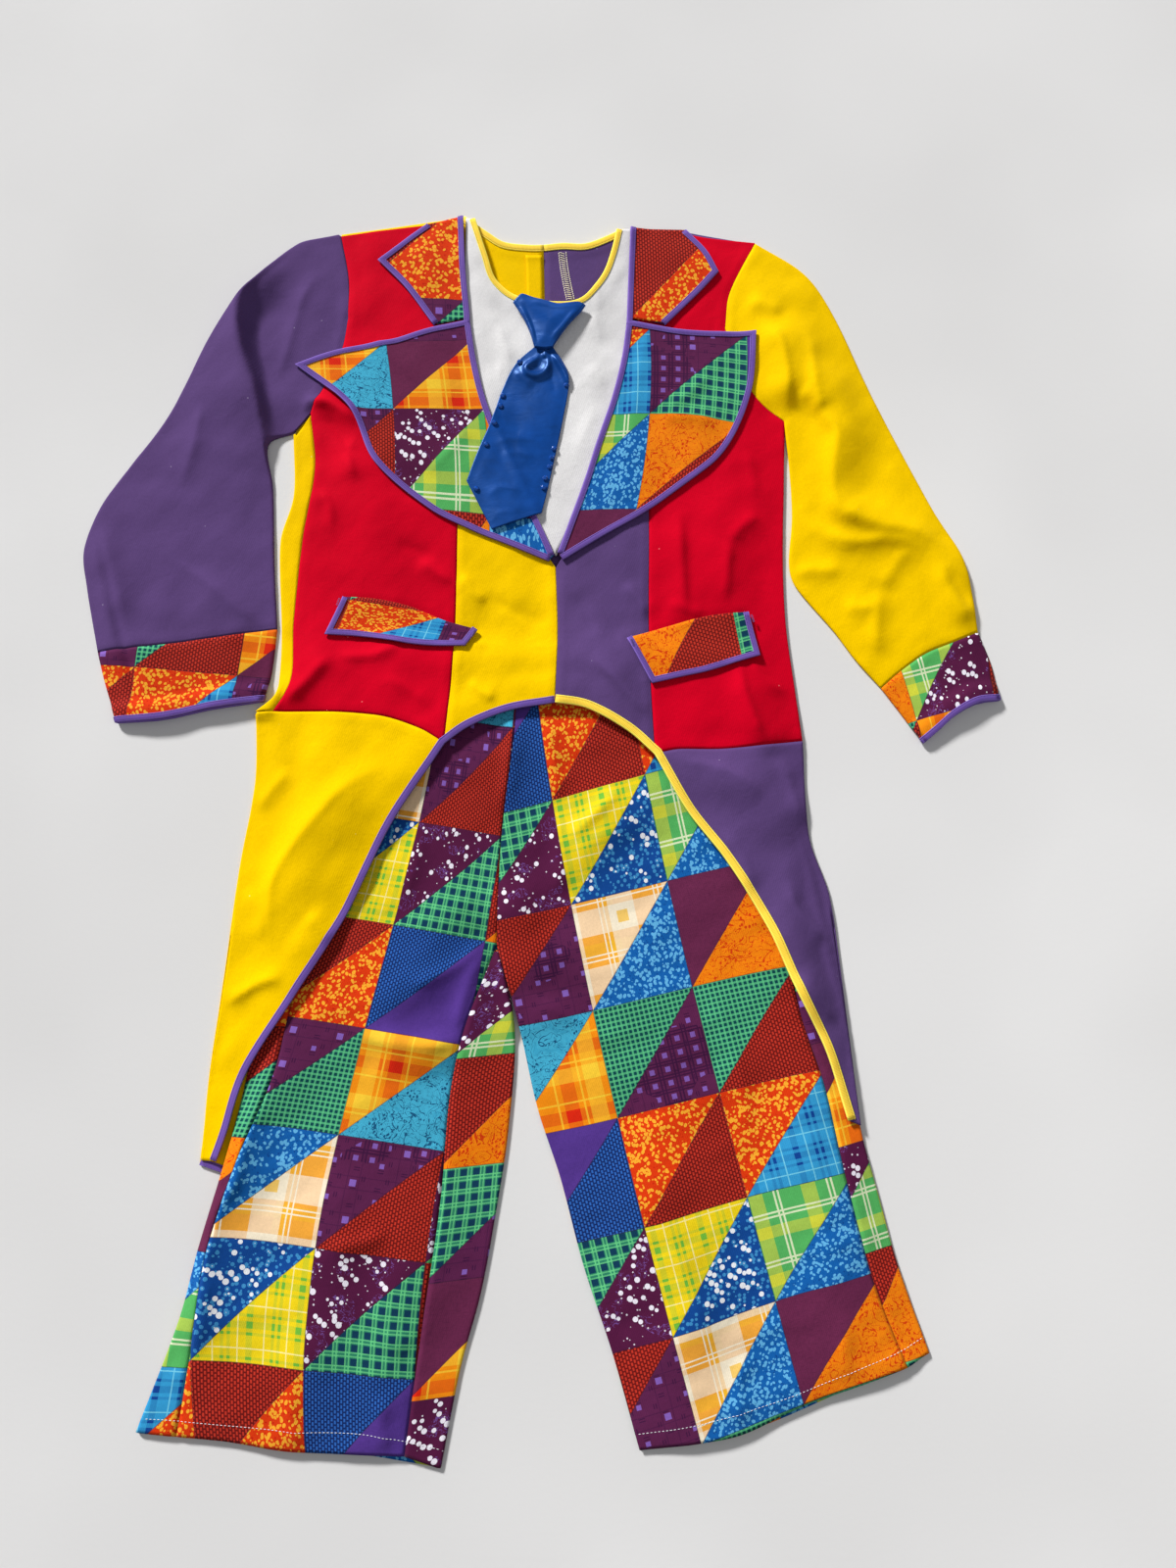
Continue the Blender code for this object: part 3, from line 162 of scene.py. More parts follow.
# Outlines and seam lines: each runs through a few places (x, y), down the garment or from right to left.
LINES = {
    "right_shoulder": ((-203, 447), (-150, 455), (-92, 462)),
    "right_armhole_upper": ((-203, 447), (-194, 402), (-193, 362)),
    "right_armhole_lower": ((-193, 362), (-198, 330), (-213, 292), (-224, 268)),
    "right_armhole_end": ((-224, 268), (-239, 250)),
    "right_strip_seam": ((-224, 268), (-218, 215), (-226, 150), (-231, 70), (-230, 16), (-245, -11)),
    "right_side": ((-239, 250), (-236, 190), (-246, 145), (-241, 60), (-241, 20), (-244, 3), (-260, -11)),
    "right_front_edge": ((-92, 462), (-89, 358), (-79, 300)),
    "right_centre_seam": ((-79, 300), (-87, 230), (-88, 161), (-88, 80), (-90, 20), (-95, -40)),
    "right_lapel_line": ((-79, 300), (-60, 240), (-42, 197), (-24, 158), (0, 120)),
    "centre_front": ((0, 120), (2, 60), (0, -4)),
    "right_waist": ((-245, -11), (-194, -12), (-150, -16), (-117, -27), (-95, -40)),
    "right_cut_centre": ((-95, -40), (-74, -25), (-40, -11), (0, -4)),
    "right_tail_outer": ((-260, -11), (-258, -74), (-267, -142), (-277, -249), (-284, -321), (-286, -386)),
    "right_cut": (
        (-95, -40), (-140, -112), (-175, -188), (-217, -257), (-253, -316), (-266, -362), (-274, -386),
    ),
    "left_shoulder": ((74, 451), (104, 452), (142, 445), (185, 440)),
    "left_armhole_upper": ((185, 440), (160, 388), (155, 352)),
    "left_armhole_lower": ((155, 352), (165, 313), (183, 281), (207, 260)),
    "left_side": ((207, 260), (205, 200), (202, 130), (203, 67), (209, 10), (214, -37)),
    "left_front_edge": ((74, 451), (74, 358), (69, 318)),
    "left_centre_seam": ((69, 318), (79, 240), (83, 168), (82, 76), (83, 13), (86, -50)),
    "left_lapel_line": ((69, 318), (59, 279), (45, 235), (32, 192), (19, 154), (0, 120)),
    "left_cut_centre": ((0, -4), (28, -9), (63, -29), (86, -50)),
    "left_waist": ((86, -50), (105, -46), (148, -45), (214, -37)),
    "left_tail_outer": ((214, -37), (217, -120), (233, -172), (243, -270), (251, -358)),
    "left_cut": ((86, -50), (113, -98), (146, -142), (178, -196), (201, -249), (224, -297), (241, -354)),
    "placket_top": ((-30, 427), (-22, 427), (-14.5, 427)),
    "placket_right": ((-30, 427), (-29, 408), (-28, 370), (-27, 300)),
    "placket_left": ((-14.5, 427), (-14, 408), (-13.5, 370), (-12.5, 300)),
    "placket_bottom": ((-27, 300), (-20, 299), (-12.5, 300)),
    "centre_back": ((-13, 438), (-10, 300), (-10, -40)),
    "right_back_top": ((-203, 450), (-150, 458), (-88, 468)),
    "right_back_neck": ((-88, 468), (-64, 450), (-50, 441), (-27, 438), (-13, 438)),
    "left_back_neck": ((-13, 438), (5, 440), (28, 440), (62, 455)),
    "left_back_top": ((62, 455), (104, 455), (142, 448), (185, 440)),
    "right_back_waist": ((-260, -11), (-160, -16), (-10, -40)),
    "left_back_waist": ((-10, -40), (100, -44), (214, -37)),
    "right_back_tail_inner": ((-10, -40), (-60, -120), (-140, -220), (-212, -312), (-264, -397)),
    "right_back_tail_outer": (
        (-260, -11), (-258, -74), (-267, -142), (-277, -249), (-284, -321), (-288, -389),
    ),
    "left_back_tail_inner": ((-10, -40), (62, -130), (150, -220), (206, -296), (240, -364)),
    "right_sleeve_outer": (
        (-203, 450), (-243, 438), (-278, 400), (-320, 340), (-356, 262), (-405, 186), (-421, 140),
        (-416, 103), (-402, 43),
    ),
    "right_sleeve_inner": ((-239, 250), (-262, 238), (-256, 196), (-251, 120), (-246, 64)),
    "right_cuff_seam": ((-402, 43), (-356, 48), (-300, 56), (-246, 64)),
    "right_cuff_outer": ((-402, 43), (-394, 16), (-381, -20)),
    "right_cuff_inner": ((-246, 64), (-249, 24), (-254, -1)),
    "right_cuff_end": ((-381, -20), (-340, -17), (-300, -8), (-254, -1)),
    "left_sleeve_outer": ((185, 440), (230, 408), (256, 365), (289, 282), (337, 177), (363, 126), (372, 61)),
    "left_sleeve_inner": (
        (207, 260), (211, 215), (212, 168), (208, 125), (213, 104), (246, 62), (264, 36), (285, 11),
    ),
    "left_cuff_seam": ((285, 11), (304, 27), (326, 42), (353, 53), (372, 61)),
    "left_cuff_outer": ((372, 61), (382, 31), (387, 0)),
    "left_cuff_inner": ((285, 11), (302, -13), (319, -38)),
    "left_cuff_end": ((319, -38), (332, -27), (347, -14), (367, -3), (387, 0)),
    "neckline": (
        (-78, 463), (-66, 425), (-57, 400), (-35, 382), (1, 377), (24, 382), (42, 405), (51, 430), (56, 452),
    ),
    "shirt_right": ((-86, 464), (-84, 358), (-70, 282), (-38, 200), (-20, 163), (0, 131)),
    "shirt_left": ((0, 131), (14, 158), (27, 196), (54, 282), (68, 358), (68, 453)),
    "collar_right_top": ((-90, 464), (-122, 458)),
    "collar_right_upper": ((-122, 458), (-166, 420)),
    "collar_right_lower": ((-166, 420), (-140, 392), (-113, 354)),
    "collar_right_inner": ((-89, 464), (-86, 410), (-81, 361)),
    "collar_left_top": ((69, 453), (120, 452)),
    "collar_left_upper": ((120, 452), (138, 430), (149, 408)),
    "collar_left_lower": ((149, 408), (129, 385), (99, 354)),
    "collar_left_inner": ((69, 453), (67, 410), (65, 361)),
    "lapel_right_top": ((-81, 358), (-117, 350), (-153, 338), (-202, 328), (-238, 314)),
    "lapel_right_outer": (
        (-238, 314), (-188, 272), (-163, 219), (-113, 175), (-77, 156), (-42, 141), (-6, 126),
    ),
    "lapel_right_inner": ((-81, 358), (-75, 320), (-66, 282), (-52, 243), (-34, 200), (-16, 163), (-2, 131)),
    "lapel_left_top": ((65, 358), (88, 353), (119, 348), (155, 346), (182, 346)),
    "lapel_left_outer": (
        (182, 346), (178, 295), (164, 253), (144, 222), (99, 186), (73, 168), (37, 147), (6, 127),
    ),
    "lapel_left_inner": ((65, 358), (60, 320), (51, 282), (37, 238), (24, 196), (11, 158), (2, 133)),
    "flap_right_top": ((-187, 92), (-159, 90), (-128, 83), (-97, 70), (-69, 62)),
    "flap_right_bottom": ((-201, 58), (-170, 56), (-127, 49), (-100, 47), (-79, 47)),
    "flap_left_top": ((63, 53), (98, 64), (133, 74), (169, 78)),
    "flap_left_bottom": ((84, 13), (110, 19), (132, 24), (178, 39)),
    "right_front_waist": ((-176, 48), (-110, 50), (-33, 44)),
    "left_front_waist": ((-33, 44), (60, 50), (142, 44)),
    "right_back_waistline": ((-190, 48), (-110, 50), (-33, 44)),
    "left_back_waistline": ((-33, 44), (60, 50), (155, 44)),
    "right_leg_outer": (
        (-190, 48), (-215, -60), (-238, -200), (-250, -305), (-266, -385), (-284, -452), (-297, -508),
        (-326, -591),
    ),
    "right_leg_seam": (
        (-176, 48), (-198, -60), (-212, -200), (-228, -310), (-255, -385), (-275, -450), (-283, -510),
        (-294, -594),
    ),
    "centre_trousers": ((-33, 44), (-35, -30), (-45, -117), (-48, -212)),
    "right_inseam": ((-48, -212), (-74, -281), (-85, -337), (-91, -421), (-103, -511), (-115, -608)),
    "right_leg_inner": (
        (-48, -212), (-33, -279), (-37, -360), (-47, -429), (-58, -489), (-73, -544), (-87, -617),
    ),
    "left_leg_inner": ((-48, -212), (-29, -277), (-13, -344), (6, -399), (25, -467), (48, -533), (69, -604)),
    "left_leg_outer": (
        (155, 44), (188, -60), (215, -160), (236, -265), (251, -360), (264, -414), (277, -467), (299, -533),
    ),
    "left_leg_seam": (
        (142, 44), (170, -60), (192, -180), (204, -265), (223, -329), (237, -399), (256, -477), (281, -543),
    ),
    "right_hem": ((-294, -594), (-257, -597), (-205, -604), (-160, -606), (-115, -608)),
    "left_hem": ((69, -604), (117, -598), (152, -591), (199, -571), (238, -558), (281, -543)),
    "right_back_hem": ((-326, -591), (-257, -597), (-160, -606), (-87, -617)),
    "left_back_hem": ((69, -604), (152, -591), (238, -558), (299, -533)),
    "knot_top": ((-40, 374), (-36, 379), (-32, 382), (-21, 378), (-10, 375), (1, 372), (19, 374), (26, 371)),
    "knot_right": ((-40, 374), (-31, 359), (-24, 343), (-20, 329)),
    "knot_left": ((26, 371), (22, 365), (10, 351), (0, 336), (-4, 329)),
    "knot_bottom": ((-20, 329), (-12, 328), (-4, 329)),
    "blade_top": ((-20.5, 331), (-12, 330), (-3.5, 331)),
    "blade_right": ((-20.5, 331), (-38, 314), (-50, 288), (-59, 258), (-70, 229), (-80, 199)),
    "blade_left": ((-3.5, 331), (9, 309), (11, 294), (7, 268), (1, 236), (-7, 196), (-13, 170)),
    "blade_point_right": ((-80, 199), (-57, 154)),
    "blade_point_left": ((-57, 154), (-13, 170)),
    "right_strip_end": ((-245, -11), (-260, -11)),
    "right_tail_corner": ((-258.6, -11.8), (-245, -11)),
    "right_tail_tip": ((-286, -386), (-274, -386)),
    "left_tail_tip": ((241, -354), (251, -358)),
    "right_back_tip": ((-288, -389), (-264, -397)),
    "left_back_tip": ((240, -364), (251, -358)),
    "shirt_right_end": ((-78, 463), (-86, 464)),
    "shirt_left_end": ((56, 452), (68, 453)),
    "collar_right_bottom": ((-81, 361), (-113, 354)),
    "collar_left_bottom": ((65, 361), (99, 354)),
    "lapel_right_bottom": ((-2, 131), (-6, 126)),
    "lapel_left_bottom": ((2, 133), (6, 127)),
    "flap_right_start": ((-187, 92), (-201, 58)),
    "flap_right_end": ((-79, 47), (-69, 62)),
    "flap_left_start": ((63, 53), (84, 13)),
    "flap_left_end": ((178, 39), (169, 78)),
}

# Each piece's lines: its top, bottom, start and end. A minus sign turns a line round.
OUTLINES = {
    "coat_back_right": (
        ("right_back_top", "right_back_neck"), ("right_back_waist",),
        ("right_armhole_upper", "right_armhole_lower", "right_armhole_end", "right_side"), ("centre_back",),
    ),
    "coat_back_left": (
        ("left_back_neck", "left_back_top"), ("left_back_waist",), ("centre_back",),
        ("left_armhole_upper", "left_armhole_lower", "left_side"),
    ),
    "tail_back_right": (
        ("right_back_waist",), ("right_back_tip",), ("right_back_tail_outer",), ("right_back_tail_inner",),
    ),
    "tail_back_left": (
        ("left_back_waist",), ("left_back_tip",), ("left_back_tail_inner",), ("left_tail_outer",),
    ),
    "back_placket": (("placket_top",), ("placket_bottom",), ("placket_right",), ("placket_left",)),
    "trouser_back_right": (
        ("right_back_waistline",), ("right_back_hem",), ("right_leg_outer",),
        ("centre_trousers", "right_leg_inner"),
    ),
    "trouser_back_left": (
        ("left_back_waistline",), ("left_back_hem",), ("centre_trousers", "left_leg_inner"),
        ("left_leg_outer",),
    ),
    "trouser_front_right": (
        ("right_front_waist",), ("right_hem",), ("right_leg_seam",), ("centre_trousers", "right_inseam"),
    ),
    "trouser_front_left": (
        ("left_front_waist",), ("left_hem",), ("centre_trousers", "left_leg_inner"), ("left_leg_seam",),
    ),
    "sleeve_right": (
        ("right_armhole_upper",), ("right_cuff_seam",), ("right_sleeve_outer",),
        ("right_armhole_lower", "right_armhole_end", "right_sleeve_inner"),
    ),
    "sleeve_left": (
        ("left_armhole_upper",), ("-left_cuff_seam",), ("left_sleeve_outer",),
        ("left_armhole_lower", "left_sleeve_inner"),
    ),
    "cuff_right": (("right_cuff_seam",), ("right_cuff_end",), ("right_cuff_outer",), ("right_cuff_inner",)),
    "cuff_left": (("-left_cuff_seam",), ("-left_cuff_end",), ("left_cuff_outer",), ("left_cuff_inner",)),
    "right_strip": (("right_armhole_end",), ("right_strip_end",), ("right_strip_seam",), ("right_side",)),
    "front_side_right": (
        ("right_shoulder",), ("right_waist",),
        ("right_armhole_upper", "right_armhole_lower", "right_strip_seam"),
        ("right_front_edge", "right_centre_seam"),
    ),
    "front_centre_right": (
        ("right_cut_centre",), ("right_lapel_line",), ("-right_centre_seam",), ("-centre_front",),
    ),
    "tail_front_right": (
        ("right_tail_corner", "right_waist"), ("right_tail_tip",), ("right_tail_outer",), ("right_cut",),
    ),
    "front_side_left": (
        ("left_shoulder",), ("left_waist",), ("left_front_edge", "left_centre_seam"),
        ("left_armhole_upper", "left_armhole_lower", "left_side"),
    ),
    "front_centre_left": (
        ("left_cut_centre",), ("-left_lapel_line",), ("-centre_front",), ("-left_centre_seam",),
    ),
    "tail_front_left": (("left_waist",), ("left_tail_tip",), ("left_cut",), ("left_tail_outer",)),
    "shirt_front": (("shirt_right_end",), ("shirt_left_end",), ("neckline",), ("shirt_right", "shirt_left")),
    "collar_right": (
        ("collar_right_top",), ("collar_right_bottom",), ("collar_right_inner",),
        ("collar_right_upper", "collar_right_lower"),
    ),
    "collar_left": (
        ("collar_left_top",), ("collar_left_bottom",), ("collar_left_inner",),
        ("collar_left_upper", "collar_left_lower"),
    ),
    "lapel_right": (
        ("lapel_right_top",), ("lapel_right_bottom",), ("lapel_right_inner",), ("lapel_right_outer",),
    ),
    "lapel_left": (("lapel_left_top",), ("lapel_left_bottom",), ("lapel_left_inner",), ("lapel_left_outer",)),
    "flap_right": (("flap_right_top",), ("flap_right_bottom",), ("flap_right_start",), ("-flap_right_end",)),
    "flap_left": (("flap_left_top",), ("flap_left_bottom",), ("flap_left_start",), ("-flap_left_end",)),
    "tie_knot": (("knot_top",), ("knot_bottom",), ("knot_right",), ("knot_left",)),
    "tie_blade": (
        ("blade_top",), ("blade_point_right", "blade_point_left"), ("blade_right",), ("blade_left",),
    ),
}

FOLD_COLUMNS = ("from_x", "from_y", "by_x", "by_y", "to_x", "to_y", "rise", "right_width", "left_width")
COAT_FOLDS = (
    (-243, 434, -296, 352, -266, 243, 10, 34, 15),
    (-413, 179, -396, 96, -366, -5, 4, 13, 18),
    (203, 372, 213, 311, 208, 266, 7, 16, 22),
    (228, 322, 262, 262, 246, 190, 6, 22, 18),
    (228, 176, 285, 166, 350, 128, 6, 22, 17),
    (335, 150, 350, 100, 368, 66, 5, 16, 20),
    (-192, 240, -178, 205, -150, 120, 5, 20, 26),
    (-192, 56, -212, 28, -236, -14, 6, 20, 20),
    (18, 96, 42, 40, 62, -8, 5, 20, 16),
    (128, 200, 142, 160, 150, 90, 5, 20, 20),
    (166, 30, 176, -12, 200, -50, 6, 18, 22),
    (-138, -60, -190, -110, -232, -196, 6, 24, 24),
    (110, -62, 168, -84, 204, -130, 5, 20, 24),
    (182, -170, 202, -220, 224, -286, 5, 18, 16),
)
TROUSER_FOLDS = (
    (-46, -150, -30, -200, -10, -262, 8, 17, 22),
    (-60, -150, -118, -232, -165, -300, 6, 26, 24),
    (4, -150, 38, -118, 74, -84, 6, 20, 20),
    (-10, -190, 60, -250, 130, -330, 5, 26, 30),
    (-228, -321, -266, -410, -288, -545, 6, 14, 24),
    (-150, -290, -118, -302, -72, -296, 5, 18, 16),
    (-170, -380, -178, -480, -206, -590, 6, 34, 34),
    (-110, -400, -122, -490, -136, -600, 4, 24, 26),
    (60, -330, 92, -430, 118, -590, 6, 34, 34),
    (190, -300, 214, -400, 246, -540, 6, 30, 30),
)

COAT_OUTLINES = (
    "right_shoulder", "left_shoulder", "right_side", "left_side", "right_tail_outer", "left_tail_outer",
    "right_sleeve_outer", "left_sleeve_outer", "right_sleeve_inner", "left_sleeve_inner",
    "right_cuff_outer", "left_cuff_outer", "right_cuff_inner", "left_cuff_inner",
)
TROUSER_OUTLINES = ("right_leg_outer", "left_leg_outer", "right_leg_inner", "left_leg_inner")
TRIM_OUTLINES = (
    "collar_right_inner", "collar_right_upper", "collar_right_lower", "collar_left_inner",
    "collar_left_upper", "collar_left_lower", "lapel_right_top", "lapel_right_outer", "lapel_right_inner",
    "lapel_left_top", "lapel_left_outer", "lapel_left_inner", "flap_right_bottom", "flap_left_bottom",
)
# edge: how much higher the sheet lies there, how far in
BOUND_EDGES = {
    "right_cut_centre": (1.7, 26),
    "left_cut_centre": (1.7, 26),
    "right_cut": (1.35, 26),
    "left_cut": (1.35, 26),
    "neckline": (1.35, 18),
    "right_cuff_end": (4.6, 16),
    "left_cuff_end": (4.6, 16),
}

# Creases: rise, width on the right side of the way, width on its left side, then places from end to end.
COAT_CREASES = (
    # the right sleeve
    (
        7.0, 15, 4, (-236, 452), (-250, 433), (-265, 419), (-283, 395), (-292, 375), (-292, 352),
        (-285, 320), (-274, 291), (-266, 250), (-260, 214), (-256, 190),
    ),
    (-3.4, 7, 9, (-274, 410), (-277, 375), (-278, 345), (-267, 300), (-259, 262)),
    (-4.0, 3, 4, (-412, 164), (-402, 131), (-393, 99), (-384, 62), (-372, 27), (-362, -18)),
    (2.7, 7, 9, (-409, 164), (-398, 131), (-388, 99), (-378, 62)),
    (3.2, 9, 6, (-344, 131), (-303, 103), (-271, 76), (-249, 65)),
    (2.7, 8, 8, (-322, 282), (-328, 234), (-339, 191)),
    (2.7, 10, 6, (-219, 415), (-236, 380), (-247, 330), (-259, 291)),
    # the right armpit and side
    (6.5, 5, 7, (-236, 270), (-224, 277), (-206, 276), (-190, 264), (-182, 250)),
    (-4.0, 4, 6, (-216, 264), (-202, 256), (-190, 238), (-184, 215)),
    (3.5, 7, 4.5, (-215, 196), (-203, 177), (-200, 149)),
    (4.1, 9, 4, (-183, 246), (-187, 230), (-185, 215), (-178, 199)),
    (-1.9, 4, 6, (-210, 189), (-207, 171), (-194, 152)),
    (3.8, 7, 4, (-123, 128), (-105, 115), (-88, 104)),
    (-1.6, 5, 5, (-144, 143), (-126, 137), (-106, 128)),
    (4.6, 5, 8, (-237, -7), (-220, 10), (-204, 28), (-193, 40)),
    (3.8, 4, 7, (-193, 40), (-178, 37), (-158, 38), (-133, 48)),
    (2.7, 8, 8, (-152, 19), (-126, 7), (-103, -10)),
    # the middle panels
    (3.5, 9, 5, (-84, 115), (-73, 97), (-58, 88)),
    (-1.9, 6, 6, (-64, 97), (-35, 79), (-3, 67)),
    (3.2, 5, 8, (-77, 16), (-63, 4), (-49, -3)),
    (3.5, 5, 9, (28, 40), (51, 16), (83, -19)),
    (3.0, 5, 8, (58, 106), (72, 91), (83, 73)),
    (-1.6, 6, 6, (11, 97), (26, 79), (34, 55)),
    # the left side
    (4.3, 11, 2.8, (110, 178), (111, 152), (112, 118), (114, 70)),
    (3.4, 9, 3.0, (156, 152), (152, 120), (149, 84)),
    (3.8, 7, 6, (153, 140), (166, 158), (184, 172)),
    (2.7, 8, 5, (98, 91), (112, 82), (133, 79)),
    (4.2, 8, 3.2, (160, 40), (161, 26), (163, 6), (171, -18), (182, -46)),
    (3.0, 7, 3.5, (168, 40), (175, 26), (187, 13), (204, 4)),
    (2.7, 8, 8, (171, 234), (176, 208), (179, 183)),
    # the left sleeve
    (
        6.8, 5, 22, (217, 370), (230, 350), (233, 324), (234, 291), (240, 265), (251, 246), (247, 208),
        (249, 174),
        (269, 163), (292, 155), (316, 152), (338, 141), (358, 132),
    ),
    (5.9, 14, 5, (184, 358), (202, 337), (208, 311), (210, 282), (210, 262)),
    (4.6, 8, 8, (211, 183), (224, 165), (245, 147), (268, 143), (292, 145), (315, 140), (335, 123)),
    (4.6, 12, 16, (339, 128), (343, 103), (356, 79), (370, 61)),
    (-3.0, 5, 5, (343, 121), (354, 103), (367, 79)),
    (3.8, 5, 9, (288, 103), (283, 79), (281, 55), (283, 37)),
    (3.0, 7, 7, (254, 85), (269, 82), (283, 84)),
    (3.5, 9, 9, (315, 140), (296, 115), (287, 97)),
    (3.2, 8, 6, (209, 115), (232, 118), (256, 115)),
    (3.0, 8, 8, (174, 380), (192, 373), (210, 366)),
    (3.2, 6, 10, (220, 287), (232, 278), (240, 265)),
    # the tails
    (
        5.7, 18, 9, (-144, -57), (-163, -68), (-185, -85), (-207, -111), (-228, -139), (-238, -161),
        (-239, -195),
        (-236, -216),
    ),
    (4.3, 4.5, 9, (-277, -262), (-259, -252), (-241, -242), (-221, -240)),
    (3.0, 9, 7, (-207, -185), (-195, -197), (-185, -212)),
    (3.0, 8, 7, (-255, -100), (-245, -83), (-226, -60)),
    (2.4, 9, 9, (-263, -161), (-248, -184), (-244, -211)),
    (4.3, 14, 7, (96, -54), (130, -60), (158, -71), (180, -91)),
    (4.1, 12, 6, (195, -153), (203, -181), (216, -197), (235, -216)),
    (3.5, 9, 6, (199, -235), (214, -252), (235, -278)),
    (3.2, 8, 10, (193, -48), (203, -80), (213, -114)),
    (3.0, 9, 9, (138, -114), (157, -136), (170, -170)),
    # the shirt front
    (1.4, 5, 7, (-56, 357), (-50, 340), (-43, 323), (-39, 316)),
    (1.3, 7, 5, (-57, 311), (-48, 311), (-40, 309)),
    (1.3, 6, 6, (28, 313), (38, 303), (44, 294)),
    (1.0, 6, 6, (33, 365), (38, 352), (39, 338)),
    (1.1, 6, 7, (-72, 375), (-53, 350), (-44, 316)),
    (1.1, 7, 7, (11, 224), (24, 243), (37, 282)),
    (1.0, 7, 7, (28, 415), (38, 380), (28, 340)),
)
TROUSER_CREASES = (
    (4.7, 5, 12, (-36, -12), (-38, -44), (-41, -74), (-43, -97)),
    (3.6, 6, 9, (-9, -13), (-3, -44), (1, -74), (3, -95)),
    (4.4, 5, 9, (8, -125), (24, -112), (45, -91), (61, -78)),
    (3.6, 5, 8, (2, -97), (5, -133), (5, -171)),
    (4.2, 6, 9, (-55, -204), (-75, -225), (-103, -241), (-127, -249)),
    (4.4, 5, 8, (-45, -208), (-42, -241), (-35, -273), (-30, -293)),
    (3.9, 6, 8, (-54, -208), (-70, -241), (-79, -273), (-76, -297)),
    (3.4, 8, 6, (-151, -281), (-126, -289), (-94, -293), (-69, -288)),
    (3.1, 7, 9, (-110, -108), (-118, -142), (-129, -184)),
    (
        3.9, 4, 6, (-223, -277), (-231, -305), (-242, -340), (-250, -368), (-257, -402), (-270, -425),
        (-280, -482), (-285, -535),
    ),
    (3.4, 6, 8, (-171, -281), (-134, -293), (-94, -293), (-77, -289)),
    (3.1, 9, 6, (-181, -453), (-146, -446), (-130, -440)),
    (2.9, 9, 9, (-108, -375), (-95, -402), (-91, -437)),
    (2.6, 10, 10, (-271, -467), (-277, -504), (-283, -537)),
    (2.6, 9, 9, (-144, -489), (-128, -519), (-112, -540)),
    (3.1, 8, 8, (-195, -605), (-204, -577), (-201, -548)),
    (3.1, 8, 8, (-125, -605), (-134, -584), (-127, -562)),
    (2.6, 10, 12, (-30, -250), (20, -275), (60, -300)),
    (2.6, 12, 9, (120, -230), (150, -300), (160, -380)),
    (2.6, 9, 12, (60, -390), (100, -460), (130, -540)),
    (2.9, 8, 8, (150, -590), (146, -560), (156, -530)),
    (2.6, 8, 8, (236, -556), (230, -530), (236, -500)),
)
TRIM_CREASES = (
    (1.9, 6, 8, (-189, 355), (-157, 330), (-124, 291)),
    (1.9, 6, 8, (-79, 262), (-92, 234), (-118, 205)),
    (1.7, 7, 7, (83, 350), (74, 301), (69, 253)),
    (2.2, 5, 8, (100, 269), (118, 282), (140, 304)),
    (2.2, 7, 5, (88, 265), (109, 262), (127, 262), (148, 253)),
    (1.7, 7, 7, (-137, 445), (-123, 415), (-113, 380)),
)
TIE_CREASES = (
    (2.1, 1.6, 2.0, (-10, 329), (-11, 323), (-12, 319)),
    (
        3.6, 2.0, 2.6, (-14, 328), (-18, 320), (-23, 315), (-28, 310), (-26, 304), (-19, 302), (-12, 305),
        (-8, 311),
        (-8, 319), (-9, 328),
    ),
    (3.6, 2.4, 3.0, (-7, 328), (-1, 319), (6, 308), (10, 298), (12, 288)),
    (-0.6, 3.0, 3.0, (-14, 320), (-18, 313), (-20, 309)),
    (-0.6, 3.0, 3.6, (-7, 318), (-6, 306), (-3, 294), (-2, 282)),
    (1.5, 4.0, 5.0, (-39, 311), (-32, 301), (-20, 291)),
    (1.4, 5, 6, (-58, 235), (-43, 240), (-25, 241), (-7, 234)),
    (1.2, 6, 5, (-52, 224), (-34, 227), (-19, 221)),
    (1.2, 5, 6, (-63, 183), (-48, 193), (-28, 189)),
)
KNOT_CREASES = (
    (1.8, 1.6, 2.4, (-36, 374), (-29, 362), (-23, 347), (-19, 330)),
    (-1.2, 1.6, 1.6, (-33, 374), (-27, 362), (-21, 347), (-17, 330)),
    (1.5, 2.2, 2.2, (22, 372), (15, 362), (6, 350), (-3, 338), (-6, 329)),
    (1.2, 2, 3, (-30, 376), (-12, 371), (1, 368), (21, 370)),
)
COAT_SEAMS = (
    "right_armhole_upper", "right_armhole_lower", "right_centre_seam", "right_waist", "right_strip_seam",
    "left_armhole_upper", "left_armhole_lower", "left_centre_seam", "left_waist", "centre_front",
    "right_cuff_seam", "left_cuff_seam", "flap_right_top", "flap_left_top",
)
TROUSER_SEAMS = ("right_leg_seam", "left_leg_seam", "centre_trousers", "right_inseam")

